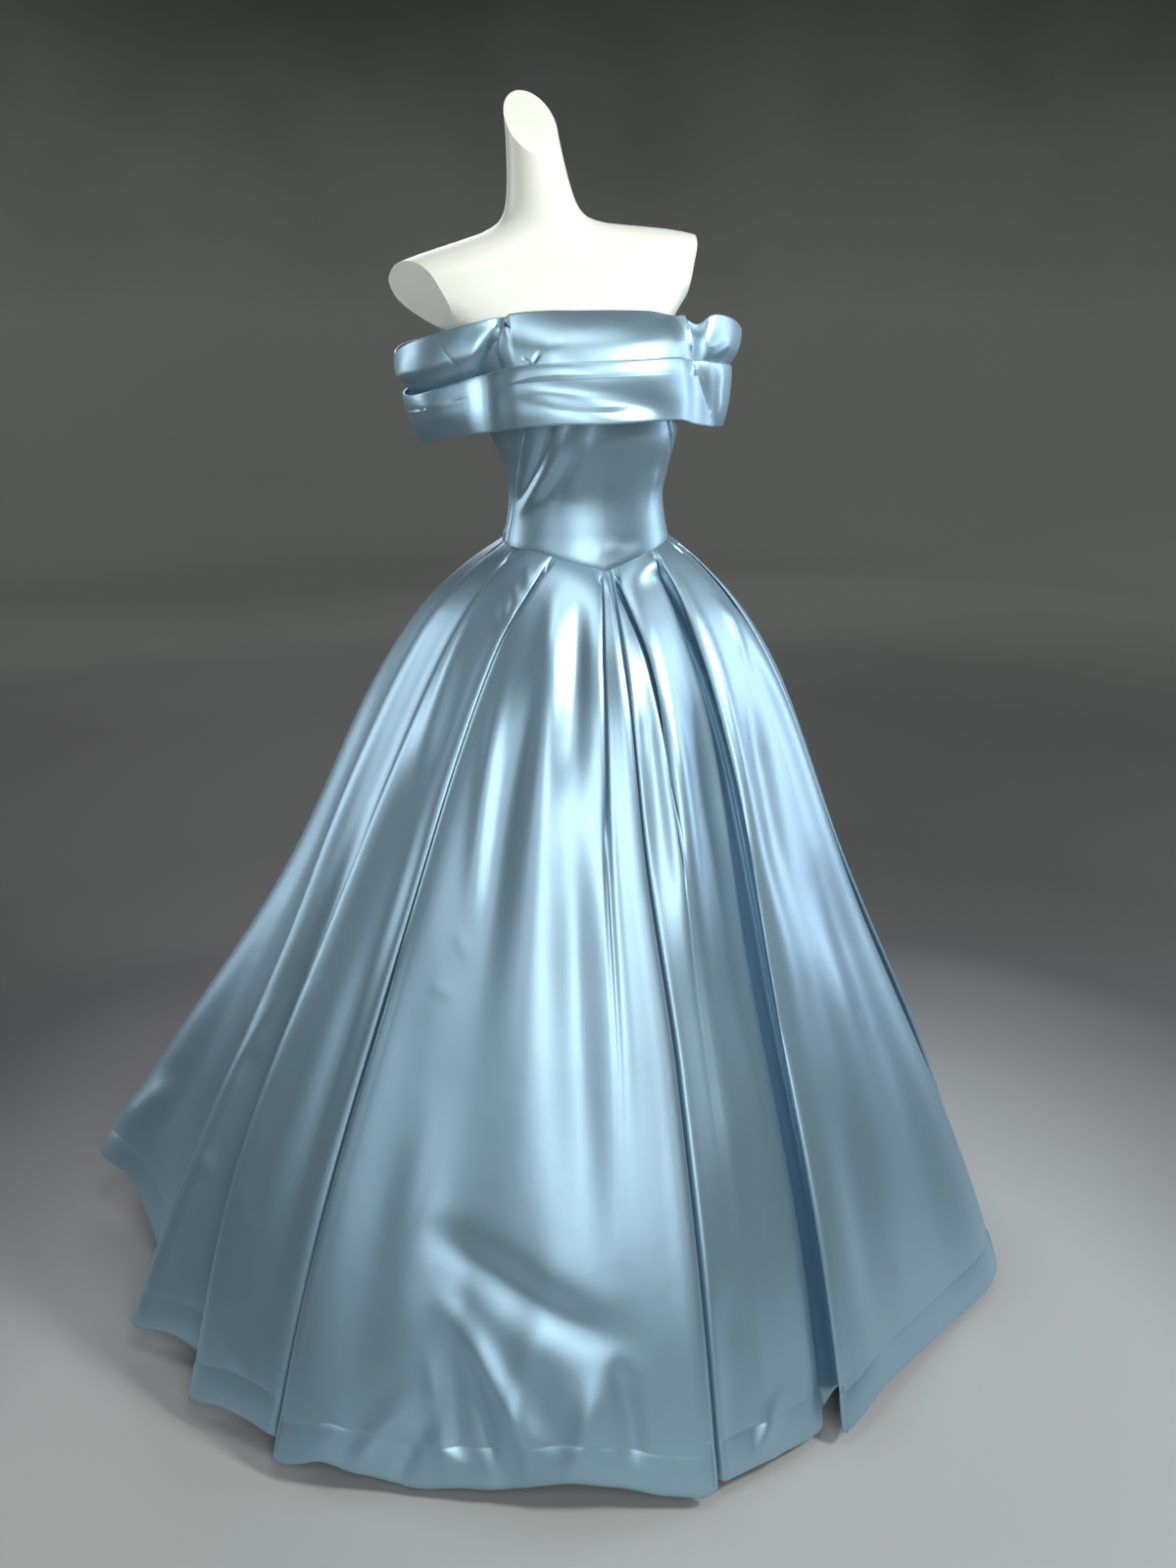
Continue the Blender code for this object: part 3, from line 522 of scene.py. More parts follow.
def satin_sheet(node, points, thickness=CLOTH):
    """The node's sheet of satin, with its face at the points and its cloth's own size as its UV."""
    columns = points.shape[1]
    bm = grid_of(points)
    widths = np.linalg.norm(np.diff(points, axis=1), axis=2)
    lengths = np.linalg.norm(np.diff(points, axis=0), axis=2)
    u = np.concatenate([np.zeros(1), np.cumsum(widths.mean(0))])
    v = np.concatenate([np.zeros(1), np.cumsum(lengths.mean(1))])
    layer = bm.loops.layers.uv.new("cloth")
    for face in bm.faces:
        for loop in face.loops:
            row, column = divmod(loop.vert.index, columns)
            loop[layer].uv = (u[column], v[row])
    bmesh.ops.reverse_faces(bm, faces=bm.faces)
    for edge in bm.edges:
        edge.smooth = not edge.is_boundary
    sheet = add_piece(f"satin_{node}", bm, satin)
    wall = sheet.modifiers.new("thickness", "SOLIDIFY")
    wall.thickness, wall.offset = thickness, -1.0
    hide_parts(node)


# ---- the bodice ----
# Five panels of satin over a firm backing, cut close and sewn. Long dart seams slant from the side
# seams at the waist up to the bust, and the bands' weight pulls soft diagonal folds into the front.
FIT, TOP_EASE = 0.0012, 0.0026  # between the cloth and the form, and how much more at the top
TOP_EASE_FROM, TOP_EASE_TO = 1.16, 1.33
WAIST_SEAM, BASQUE_DROP, BASQUE_SPREAD = 1.094, 0.025, 60.0  # the point's drop, and degrees each way
DART_SEAM = (
    (1.06, 86.5), (1.12, 85.0), (1.17, 78.0), (1.21, 66.0), (1.255, 52.0), (1.30, 46.0), (1.36, 43.0),
)
SIDE_SEAM = 92.0
BODICE_TOP = ((0.0, 1.388), (34.0, 1.384), (56.0, 1.352), (92.0, 1.330), (125.0, 1.340), (180.0, 1.358))
SEAM_GAP = 0.0003
SEAM_DIP, SEAM_ROLL = 0.0011, 0.0030  # a seam draws the cloth in by this much, over this far
DEEPEST = -0.0011  # a trough goes no deeper, so the cloth stays off the form
CREASED_FROM = 0.012  # how far above the waist seam a crease has its whole depth
SEAM_LEVELS = (1.08, 1.36)  # heights at which a dart seam is read for the lowest and highest row
BODICE_ROWS = 100
BODICE_STEP = 1.1  # degrees between columns
BODICE_DEGREE = math.radians(0.11)  # metres in a degree round the bodice, 0.11 m from its middle

# Creases: degrees and height in millimetres at the start, middle and end, width at the start and the
# end, and depth, in millimetres too (positive for a ridge, negative for a trough).
BODICE_CREASES = (
    # the drape that runs from under the right of the bands to the waist's side
    (-32, 1300, -58, 1210, -84, 1140, 16, 11, 3.2),
    (-24, 1300, -52, 1202, -82, 1138, 6, 6, -3.6),
    (-14, 1300, -45, 1196, -86, 1122, 11, 10, 4.6),
    (-4, 1290, -33, 1188, -70, 1118, 9, 9, -2.4),
    (2, 1290, -20, 1200, -46, 1140, 18, 16, 1.2),
    # the front, and above the point of the basque
    (54, 1220, 25, 1184, -8, 1178, 18, 16, -1.4),
    (53.7, 1194, 48.5, 1165, 44, 1130, 10, 10, 1),
    (-12, 1092, 2, 1096, 21, 1098, 8, 7, 0.6),
    (36, 1107, 20, 1103, 6, 1104, 8, 8, -0.6),
    (-104, 1094, -95, 1106, -80, 1117, 5, 6, 2.2),
    (62, 1230, 70, 1190, 80, 1150, 14, 12, 1.8),
    # the sides and the back
    (-112, 1230, -122, 1180, -134, 1150, 14, 18, 1.8),
    (-126, 1215, -140, 1172, -152, 1135, 12, 16, -1.6),
    (-158, 1225, -164, 1170, -168, 1130, 12, 14, 1.3),
    (104, 1225, 112, 1185, 122, 1155, 12, 14, -1.8),
    (128, 1235, 138, 1190, 150, 1150, 14, 18, 1.8),
    (166, 1215, 160, 1170, 150, 1140, 12, 14, -1.4),
)


def table_at(table, x):
    """A smooth curve through a table of (stop, value) rows, read at x."""
    return curve_at(*zip(*table), x)


def wrapped(angle):
    """The same angle from -180 to 180 degrees."""
    return (angle + 180.0) % 360.0 - 180.0


def bodice_fit(height):
    return FIT + TOP_EASE * smooth(TOP_EASE_FROM, TOP_EASE_TO, height)


def waist_seam(angle):
    dip = np.maximum(0.0, 1.0 - np.abs(wrapped(angle)) / BASQUE_SPREAD) ** 1.3
    return WAIST_SEAM - BASQUE_DROP * dip


def seam_dip(metres):
    """How far the cloth lies under its own face this far from a seam."""
    return -SEAM_DIP * bell(metres / SEAM_ROLL)


half_gap = SEAM_GAP / 2 / BODICE_DEGREE
share = np.linspace(1.0, 0.0, BODICE_ROWS)[:, None]
level = SEAM_LEVELS[0] + (SEAM_LEVELS[1] - SEAM_LEVELS[0]) * share
dart_seam = table_at(DART_SEAM, level)
side_seam, back_seam = np.full_like(level, SIDE_SEAM), np.full_like(level, 180.0)
for side, start, end in (
    ("back_right", -back_seam, -side_seam),
    ("side_right", -side_seam, -dart_seam),
    ("front_centre", -dart_seam, dart_seam),
    ("side_left", dart_seam, side_seam),
    ("back_left", side_seam, back_seam),
):
    first, last = start + half_gap, end - half_gap
    columns = int(np.max(last - first) / BODICE_STEP)
    angle = first + (last - first) * np.linspace(0.0, 1.0, columns)[None, :]
    low, high = waist_seam(angle) + SEAM_GAP / 2, table_at(BODICE_TOP, np.abs(wrapped(angle)))
    height = low + (high - low) * share
    relief = creased(BODICE_CREASES, angle, height / MM, BODICE_DEGREE, MM)
    relief = np.maximum(relief, DEEPEST) * smooth(0.0, CREASED_FROM, height - low)
    to_side = np.minimum(angle - first, last - angle) * BODICE_DEGREE
    relief += seam_dip(to_side) + seam_dip(height - low)
    flat = on_body(angle, height, bodice_fit(height) + CLOTH)
    face = flat + outward_of(flat, False) * relief[..., None]
    satin_sheet(f"bodice_{side}", face)


# ---- the skirt ----
# Nine gored panels, sewn to the waist seam in deep pleats and turned up inside at the hem, which rolls
# softly because it isn't pressed. Drapes run down from the waist, and handling has left small creases.
HEM_HEIGHT = 0.030
HEM_LIFT, LIFTED_AT, LIFTED_WIDTH = 0.028, -106.0, 13.0  # the hem is higher at the sweep
HEM_SHIFT = (-0.020, 0.106)  # the hem's middle from the waist's
# Share of the way down, and how far from its middle line the skirt reaches there.
SKIRT_REACH = (
    (0.0, 0.1125), (0.02, 0.139), (0.043, 0.165), (0.08, 0.200), (0.128, 0.236), (0.223, 0.298),
    (0.365, 0.380), (0.555, 0.487), (0.744, 0.592), (0.90, 0.668), (1.0, 0.712),
)
# Each pleat: its name; 1 if its edge points to greater angles; its angles at the waist and 10, 25, 55
# and 100 % down; in millimetres, its depths 3, 10, 35, 70 and 100 % down, how far its edge stands out
# 10, 50 and 100 % down, its lap, and how far the face after it is hollow; and in percent of its depth,
# how deep the cloth beside it lies at the top and the bottom.
PLAIN_PLEAT = ((19, 30, 45, 60, 75), (0, 0, 0), 45, 0, (25, 45))
PLEATS = (
    ("back_right_in", -1, (-172, -172, -172, -171, -170), *PLAIN_PLEAT),
    ("back_right_out", 1, (-136, -133, -131, -128, -126), *PLAIN_PLEAT),
    ("train_right", -1, (-112, -110, -109, -107, -106),
     (19, 30, 50, 80, 110), (10, -26, 28), 45, 30, (30, 55)),
    ("hip_right", -1, (-92, -88, -83, -77.5, -73), (19, 30, 50, 75, 90), (8, -14, 0), 35, 0, (30, 60)),
    ("side_right", -1, (-70, -68, -66, -65, -58.5), (17, 26, 45, 90, 120), (0, 0, 5), 45, 0, (25, 55)),
    ("front_right_out", -1, (-40.5, -46.5, -47, -47, -45),
     (18, 28, 32, 55, 75), (0, 0, 14), 40, 0, (14, 30)),
    ("centre_right", 1, (-5.5, -8.6, -9, -8, -9), (22, 22, 3, 0, 0), (0, 0, -6), 14, 0, (20, 50)),
    ("centre_ridge", 1, (1.2, -0.8, -1.2, 1, 1.2), (8, 12, 26, 34, 32), (0, 0, 12), 25, 0, (18, 34)),
    ("centre_left", -1, (5, 8.8, 7.4, 6.5, 7), (28, 16, 1, 0, 0), (0, -8, -12), 22, 0, (34, 60)),
    ("front_left_in", -1, (41, 30.5, 25.6, 19.6, 17),
     (42, 48, 56, 58, 52), (0, 0, -6), 40, 6, (42, 48)),
    ("front_left_out", 1, (66, 64, 62, 59, 53), (19, 30, 40, 55, 70), (6, -24, 0), 40, 0, (30, 55)),
    ("side_left_in", -1, (80, 78, 77, 76, 75), (16, 25, 40, 55, 70), (4, -30, -45), 40, 0, (25, 50)),
    ("side_left_out", 1, (112, 114, 116, 118, 120),
     (19, 30, 45, 60, 75), (0, -15, -20), 45, 0, (25, 45)),
    ("back_left_in", -1, (136, 135, 135, 134, 134), *PLAIN_PLEAT),
    ("back_left_out", 1, (172, 172, 172, 171, 170), *PLAIN_PLEAT),
)
# Each panel, and the pleat at whose inner fold it ends and the next one starts. The last one ends, and
# the first one starts, at the centre back.
SKIRT_PANELS = (
    ("skirt_back_right", "train_right"),
    ("skirt_train_right", "hip_right"),
    ("skirt_hip_right", "side_right"),
    ("skirt_side_right", "front_right_out"),
    ("skirt_front_right", "centre_ridge"),
    ("skirt_front_inset", "front_left_in"),
    ("skirt_front_left", "front_left_out"),
    ("skirt_side_left", "side_left_out"),
    ("skirt_back_left", None),
)
VALLEY = 2  # which of a pleat's points is its inner fold
# At the seam and just under it the pleats are pressed flat: their depths, and how far they stand out.
WAIST_DEEPS, WAIST_OUTS = (0.00076, 0.0038), (0.0, 0.0019)
RUN_OUT = 0.015  # a pleat shallower than this fades into the cloth
LEAST_DEPTH = 0.0002
EDGE_RADIUS = (0.0016, 0.0034)  # of a pleat's edge, at the waist and at the hem
EDGE_BULGE, BULGE_FROM = 0.0006, 0.012  # the cloth beside an edge stands up, if a pleat is this deep
# At most: a pleat's depth, of the skirt's reach; its lap and crown, of the face ahead; its foot, of the
# face behind; its lap, and its edge's radius, of its depth.
DEPTH_MOST, AHEAD_MOST, BEHIND_MOST, LAP_MOST, RADIUS_MOST = 0.9, 0.35, 0.42, 1.3, 0.22
CROWN, CROWN_MORE = 0.010, 0.10  # the strip beside a pleat's edge: metres, and more for its depth
FOOT, FOOT_MORE, FOOT_WHOLE = 0.004, 0.32, 0.8  # the strip behind it, which is whole this far down
LAP_WHOLE, HOLLOW_FROM = 0.25, 0.3  # shares of the way down
FACE_STEPS = (1 / 3, 2 / 3)
FACE_FLAT, FACE_FLAT_FROM = 0.75, 0.35  # a face is this much flatter, this far down
OPEN_WORTH = (0.6, 0.1, 0.0, 0.0, 0.1, 0.4, 0.7, 1.0)  # how open to the room a pleat's points are
IN_FOLDS = (0.3, 0.35)  # how much of the hem's puff, and of its roll, is left in the folds
ANGLE_STOPS = (0.0, 0.10, 0.25, 0.55, 1.0)
DEEP_STOPS = (0.0, 0.008, 0.03, 0.10, 0.35, 0.70, 1.0)
OUT_STOPS = (0.0, 0.008, 0.10, 0.50, 1.0)
BESIDE_STOPS = (0.05, 0.80)
WAIST_SHARE = 0.16  # this far down, the skirt no longer follows the bodice's shape

SKIRT_LENGTH = 1.20  # along the slope of the skirt
SKIRT_ROWS, ROW_SPREAD = 142, 1.12  # the rows are closer towards the waist
FRONT_COLUMN, COLUMN = 0.0062, 0.0125  # between columns at the hem: in front, and elsewhere
COLUMNS_LEAST, COLUMNS_MOST = 2, 45
FRONT = (-50.0, 56.0)  # degrees
HEM_ROLL = 0.0075  # radius of the turned hem's edge
HEM_ROLL_ROWS = 8
HEM_TURNED = 0.060  # how much cloth is turned up inside, and where its stitches draw the cloth in
HEM_TURNED_ROWS = 6
HEM_PUFF = 0.0014
STITCH_DIP, STITCH_SPREAD = 0.0002, 0.0030
STITCH_ROWS, STITCH_REACH = 9, 1.5  # the rows are closer this many times that far from the stitches

# Drapes and creases: degrees and percent of the way down at the start, middle and end, and in
# millimetres the width at the start and the end, and the depth (positive for a ridge).
SKIRT_CREASES = (
    # the wide panel in front, to the gown's right of the middle
    (-30, 6, -23, 45, -20, 92, 30, 80, 12),
    (-33, 1.5, -25, 17, -21, 50, 11, 32, 6.5),
    (-40.5, 10, -37, 27, -33, 47, 10, 18, 5),
    (-17.5, 1.5, -17.4, 13, -16.3, 26, 12, 20, -8.5),
    (-16.5, 25, -13.5, 55, -9.5, 95, 20, 50, -11),
    (-28.5, 8, -31, 30, -29, 60, 12, 35, -5),
    (-43, 35, -41, 62, -38.5, 96, 30, 60, -7),
    (-34, 55, -34, 78, -31.5, 100, 30, 45, 8),
    (-27.5, 72, -26.5, 88, -25, 102, 20, 30, -6),
    (-41.5, 98.5, -36, 94.5, -30.5, 93, 12, 14, 1.4),
    (-33, 93, -27, 95.5, -21, 100, 10, 12, 2.2),
    (-22.5, 102, -19.4, 88, -15.5, 70, 12, 30, 4),
    (-37.7, 39, -35.5, 41.5, -33.4, 43.7, 7, 9, 0.9),
    (-40, 45.9, -37, 46.6, -34, 47.4, 6, 7, 0.8),
    (-36.5, 102, -33.8, 94, -29.5, 88, 12, 15, 4.8),
    (-31.5, 102, -30.2, 95, -27, 90, 10, 13, -4),
    (-14.8, 102, -12.2, 93, -11.5, 85, 13, 18, 4.5),
    (-34, 70, -19, 78.5, -4, 84, 24, 34, -8),
    (-31, 77, -22, 88.5, -13, 102, 18, 22, 7.8),
    (-26, 84, -22.5, 93, -19, 102, 9, 12, -5),
    (-20.5, 90, -18.5, 95, -17.5, 102, 8, 10, 3),
    (-30, 84, -27.5, 93, -25, 101, 11, 14, 5),
    (-9.5, 84, -7.5, 91, -7, 100, 13, 16, -5.5),
    # the panel inside the middle pleat
    (5.2, 102, 8.2, 95.5, 13, 92, 11, 13, 3.8),
    (14, 100, 16.2, 95.5, 20, 93, 10, 13, -3.4),
    (9.2, 12, 8, 27, 5, 48, 17, 30, 10),
    (4.8, 10, 3.9, 22, 3.2, 38, 11, 18, -5),
    (22, 15, 21, 35, 18.5, 60, 20, 35, -10),
    (12, 45, 13.5, 70, 14.3, 95, 35, 60, 8),
    (9, 60, 9, 80, 9.5, 100, 30, 40, -5),
    (5, 75, 4.5, 88, 3.7, 100, 20, 25, -5),
    # the panel to the left of it
    (44.8, 1.4, 28.5, 20, 21.5, 55, 12, 20, 6),
    (57, 6, 51.5, 10.5, 46.5, 15, 10, 14, 4),
    (45.4, 14, 34.6, 30, 30.5, 50, 20, 40, -8),
    (42, 40, 37, 65, 34, 95, 40, 70, 10),
    (28, 60, 26.5, 80, 25, 100, 30, 45, -6),
    (50, 35, 47, 60, 45, 90, 30, 50, -6),
    (31, 86, 33, 90, 36, 93, 12, 16, 1.5),
    # the narrow panels on the right, and the sweep
    (-66, 5.5, -59.5, 17, -56.8, 30, 12, 22, 6),
    (-55.8, 3, -49, 4.5, -43, 6.3, 6, 8, 2.5),
    (-56, 5, -50, 6.5, -45, 8.5, 6, 8, -2.2),
    (-54, 1.2, -48, 2.5, -43.5, 3.8, 5, 7, 2),
    (-53, 25, -52, 50, -51, 85, 25, 45, -7),
    (-57.5, 40, -56.3, 65, -55, 95, 25, 40, 6),
    (-59.2, 73.5, -59.4, 75.5, -59.3, 77.6, 7, 7, 1.5),
    (-59.1, 77.5, -57.4, 77.7, -55.7, 77.8, 7, 8, 1.3),
    (-54.9, 91.5, -53.5, 93, -52, 95, 10, 12, 1.8),
    (-72, 52, -73.6, 61.5, -75.5, 74, 12, 16, 2.2),
    (-72.3, 62, -72.6, 64, -73.4, 66.8, 7, 8, -2),
    (-73.7, 75.7, -72, 77, -70.3, 78.4, 9, 10, 1.5),
    (-69, 30, -68.5, 55, -67, 90, 20, 35, -7),
    (-64, 45, -63, 70, -62, 98, 20, 30, 5),
    (-82, 20, -84, 50, -86, 80, 30, 50, 8),
    (-95, 10, -96, 35, -97, 60, 30, 50, -7),
    (-98.9, 80, -100.5, 88, -102.3, 95, 20, 30, 5),
    (-90, 50, -90.5, 72, -91, 95, 25, 40, 6),
    (-118, 10, -117, 40, -116, 80, 30, 60, 10),
    (-122, 30, -121, 60, -120, 95, 30, 50, -8),
    # the back
    (-160, 3, -158, 30, -155, 75, 20, 60, 12),
    (-148, 2, -147, 22, -146, 55, 14, 40, -7),
    (-139, 5, -138, 30, -136, 70, 15, 45, 8),
    (-165, 40, -164, 70, -163, 100, 30, 50, -7),
    (-151, 60, -149, 80, -146, 100, 30, 45, 6),
    (-142, 65, -143, 85, -142, 100, 25, 40, -6),
    (175, 5, 175.5, 30, 176, 70, 12, 30, -5),
    (142, 3, 144, 30, 146, 70, 16, 50, 9),
    (152, 2, 152, 20, 151, 50, 12, 35, -7),
    (161, 5, 160, 35, 158, 80, 20, 50, 8),
    (155, 55, 156, 80, 157, 100, 30, 45, -6),
    (147, 70, 146, 86, 144, 100, 22, 35, 5),
    (127, 8, 127, 40, 127, 85, 20, 50, 8),
    (123, 40, 124, 70, 125, 100, 20, 40, -5),
    (150, 78, 153, 80, 157, 83, 12, 14, 1.5),
    (-152, 86, -155, 89, -159, 90, 12, 16, 1.8),
    # the left side
    (84, 3, 85, 30, 86, 70, 16, 50, 10),
    (92, 2, 93, 20, 94, 50, 12, 35, -8),
    (101, 5, 102, 35, 103, 80, 20, 50, 9),
    (108, 30, 109, 60, 110, 95, 20, 40, -6),
    (89, 60, 90, 80, 91, 100, 30, 45, -6),
    (97, 70, 98, 86, 99, 100, 22, 35, 6),
    (87, 82, 91, 84, 95, 83, 12, 14, 1.5),
    (58, 5, 57, 30, 56, 75, 14, 40, 6),
    (66, 4, 66, 30, 66, 80, 14, 45, 8),
    (71, 20, 70, 55, 69, 90, 16, 35, -6),
)
# The hem isn't level: degrees, and millimetres above or below its even height there.
HEM_WAVES = (
    (-180, 0), (-165, -6), (-150, 8), (-135, -5), (-118, 6), (-106, 14), (-98, 32), (-88, 0),
    (-80, -4), (-72, 5), (-67, 14), (-60, -10), (-53, 9), (-47, 4), (-44.5, -12), (-41.4, 0),
    (-39.3, 9), (-36.3, -2), (-33.3, -10), (-29.5, -19), (-25, -11), (-21, -7), (-16, 9), (-13.5, 16),
    (-10, 10), (-7, 1), (-4, -9), (-0.3, -12), (1.5, -6), (5, -9), (8.4, -8), (13.4, -15), (17.9, -8),
    (20, 6), (23, 15), (29, 4), (36, -6), (43, -12), (50, -8), (60, 6), (75, -6), (90, 8), (105, -6),
    (120, 4), (140, -8), (158, 6), (180, 0),
)
HEM_WAVES_FROM, CREASED_SHARE = 0.80, 0.02  # shares of the way down


def pleats_at(share):
    """Every pleat's numbers down the skirt, in degrees and metres."""
    found = []
    for name, side, angles, deeps, outs, lap, hollow, besides in PLEATS:
        deeps = (*WAIST_DEEPS, *(deep * MM for deep in deeps))
        outs = (*WAIST_OUTS, *(out * MM for out in outs))
        found.append(
            {
                "name": name,
                "side": side,
                "angle": curve_at(ANGLE_STOPS, angles, share),
                "deep": np.maximum(curve_at(DEEP_STOPS, deeps, share), LEAST_DEPTH),
                "out": curve_at(OUT_STOPS, outs, share),
                "lap": lap * MM * smooth(0.0, LAP_WHOLE, share) ** 0.5,
                "hollow": hollow * MM * smooth(HOLLOW_FROM, 1.0, share),
                "beside": curve_at(BESIDE_STOPS, besides, share) / 100.0,
            }
        )
    return found


def skirt_reach(angle, share):
    """Distance of a pleat's edge from the skirt's middle line; at the top it meets the bodice."""
    waist = on_body(angle, waist_seam(angle), FIT + CLOTH)
    at_waist = np.hypot(waist[..., 0] - WAIST_CENTRE[0], waist[..., 1] - WAIST_CENTRE[1])
    more = (at_waist - SKIRT_REACH[0][1]) * (1.0 - smooth(0.0, WAIST_SHARE, share))
    return table_at(SKIRT_REACH, share) + more


def skirt_point(angle, inward, share, out=0.0):
    reach = skirt_reach(angle, share) + out - inward
    turn = np.radians(angle)
    x = WAIST_CENTRE[0] + HEM_SHIFT[0] * share + reach * np.sin(turn)
    y = WAIST_CENTRE[1] + HEM_SHIFT[1] * share - reach * np.cos(turn)
    return np.stack([x, y, angle + 0.0 * share], -1)


def pleat_points(pleat, behind, ahead, share):
    """One pleat's points down the skirt, as (x, y, angle), with the room it has on each side.

    They run from the cloth beside the pleat in under its edge to the inner fold, and back out over it.
    """
    reach = skirt_reach(pleat["angle"], share) + pleat["out"]
    deep = np.minimum(pleat["deep"], DEPTH_MOST * reach)
    lap = np.minimum(np.minimum(pleat["lap"], AHEAD_MOST * ahead), LAP_MOST * deep)
    radius = EDGE_RADIUS[0] + (EDGE_RADIUS[1] - EDGE_RADIUS[0]) * share
    radius = np.minimum(radius, RADIUS_MOST * deep)
    crown = np.minimum(CROWN + CROWN_MORE * deep, AHEAD_MOST * ahead)
    sunk = pleat["beside"]
    foot = FOOT + (FOOT + FOOT_MORE * sunk * deep) * smooth(0.0, FOOT_WHOLE, share)
    foot = -np.minimum(foot, BEHIND_MOST * behind)
    bulge = EDGE_BULGE * smooth(0.0, BULGE_FROM, deep)
    folded = smooth(0.0, RUN_OUT, deep)
    section = (
        (foot, sunk * deep),
        (0.05 * deep, 0.88 * deep),
        (lap, deep),
        (0.6 * lap, 0.55 * deep),
        (1.4 * radius, 2.1 * radius),
        (0.0 * lap, radius),
        (1.2 * radius, 0.0 * lap),
        (crown, -bulge),
    )
    points = []
    for k, (along, inward) in enumerate(section):
        # Where the pleat runs out, its points spread evenly and no longer turn back under its edge.
        spread = foot + (crown - foot) * k / (len(section) - 1)
        along = spread + (along - spread) * folded
        angle = pleat["angle"] - pleat["side"] * np.degrees(along / reach)
        points.append(skirt_point(angle, inward, share, pleat["out"]))
    return points if pleat["side"] < 0 else points[::-1]


def face_points(here, after, hollow, share):
    """The points on a face between two pleats: a straight chord, rounded out near the waist."""
    rounded = (1.0 - FACE_FLAT * smooth(0.0, FACE_FLAT_FROM, share))[:, None]
    span = (after[:, 2] - here[:, 2]) % 360.0
    points = []
    for part in FACE_STEPS:
        angle = here[:, 2] + span * part
        turn = np.radians(angle)
        outward = np.stack([np.sin(turn), -np.cos(turn)], -1)
        chord = here[:, :2] * (1 - part) + after[:, :2] * part
        centre = skirt_point(angle, skirt_reach(angle, share), share)[:, :2]
        start, end = (np.linalg.norm(side[:, :2] - centre, axis=1) for side in (here, after))
        arc = centre + (start * (1 - part) + end * part)[:, None] * outward
        point = chord * (1 - rounded) + arc * rounded - hollow[:, None] * outward
        points.append(np.concatenate([point, angle[:, None]], 1))
    return points


def skirt_controls(share):
    """The skirt's level sections as (x, y, angle) points, and where in them each inner fold is."""
    pleats = pleats_at(share)
    folds = []
    for i, pleat in enumerate(pleats):
        reach = skirt_reach(pleat["angle"], share) + pleat["out"]
        room = []
        for other in (pleats[i - 1], pleats[(i + 1) % len(pleats)]):
            turned = np.abs(wrapped(other["angle"] - pleat["angle"]))
            room.append(np.radians(turned) * reach)
        behind, ahead = room if pleat["side"] < 0 else room[::-1]
        folds.append(pleat_points(pleat, behind, ahead, share))
    points, valleys = [], {}
    for i, fold in enumerate(folds):
        after = folds[(i + 1) % len(folds)][0]
        place = VALLEY if pleats[i]["side"] < 0 else len(fold) - 1 - VALLEY
        valleys[pleats[i]["name"]] = len(points) + place
        points += fold
        points += face_points(fold[-1], after, pleats[i]["hollow"], share)
    valleys[None] = len(points) - 1
    return np.stack(points, 1), valleys


def rounded_rows(rows, worth, steps):
    """Closed rows of points as smooth curves with that many points for each stretch between two."""
    ahead = np.roll(rows, -1, 1) - rows
    ahead[..., 2] = wrapped(ahead[..., 2])
    length = np.linalg.norm(ahead[..., :2], axis=2)[..., None]
    behind, before = np.roll(ahead, 1, 1), np.roll(length, 1, 1)
    tangent = (behind / before * length + ahead / length * before) / (length + before)
    made, kept = [], []
    for k in range(rows.shape[1]):
        j = (k + 1) % rows.shape[1]
        slopes = length[:, k] * tangent[:, k], length[:, k] * tangent[:, j]
        for s in np.arange(steps[k]) / steps[k]:
            made.append(rows[:, k] + between(0.0, slopes[0], ahead[:, k], slopes[1], s))
            kept.append(worth[:, k] * (1 - s) + worth[:, j] * s)
    return np.stack(made, 1), np.stack(kept, 1)


def rolled_edge(row, inward, along, radius, roll_rows, back, back_rows):
    """The rows that take a sheet round its rolled edge, and then back behind its face."""
    rows = []
    for i in range(1, roll_rows + 1):
        turn = math.pi * i / roll_rows
        rows.append(row + inward * radius * (1 - math.cos(turn)) + along * radius * math.sin(turn))
    return np.stack(rows + [rows[-1] + back * i / back_rows for i in range(1, back_rows + 1)])


def columns_between(starts, first, last):
    """The columns of a closed grid from one of its stretches to another one."""
    first, last, count = starts[first], starts[last], starts[-1]
    return np.arange(first, last + 1 if last > first else last + 1 + count) % count


stitches = 1.0 - HEM_TURNED / SKIRT_LENGTH
fine = STITCH_REACH * STITCH_SPREAD / SKIRT_LENGTH
share = np.concatenate(
    [
        (np.arange(SKIRT_ROWS) / SKIRT_ROWS) ** ROW_SPREAD * (stitches - fine),
        np.linspace(stitches - fine, stitches + fine, STITCH_ROWS, endpoint=False),
        np.linspace(stitches + fine, 1.0 - HEM_ROLL / SKIRT_LENGTH, STITCH_ROWS),
    ]
)
controls, valleys = skirt_controls(share)
# How far the cloth at each point faces the room, from 1 on a face to 0 in the depth of a pleat.
open_worth = []
for pleat in pleats_at(share):
    shut = smooth(0.0, RUN_OUT, pleat["deep"])
    for worth in OPEN_WORTH if pleat["side"] < 0 else OPEN_WORTH[::-1]:
        open_worth.append(1.0 - (1.0 - worth) * shut)
    open_worth += [np.ones(len(share))] * len(FACE_STEPS)
hem_angle = wrapped(controls[-1, :, 2])
hem_spans = np.linalg.norm((np.roll(controls[-1], -1, 0) - controls[-1])[:, :2], axis=1)
spacing = np.where((hem_angle > FRONT[0]) & (hem_angle < FRONT[1]), FRONT_COLUMN, COLUMN)
steps = np.clip(np.round(hem_spans / spacing).astype(int), COLUMNS_LEAST, COLUMNS_MOST)
starts = np.concatenate([[0], np.cumsum(steps)])
plan, face_worth = rounded_rows(controls, np.stack(open_worth, 1), steps)
angle = plan[..., 2]
turned = wrapped(angle)
top = waist_seam(angle) - SEAM_GAP / 2
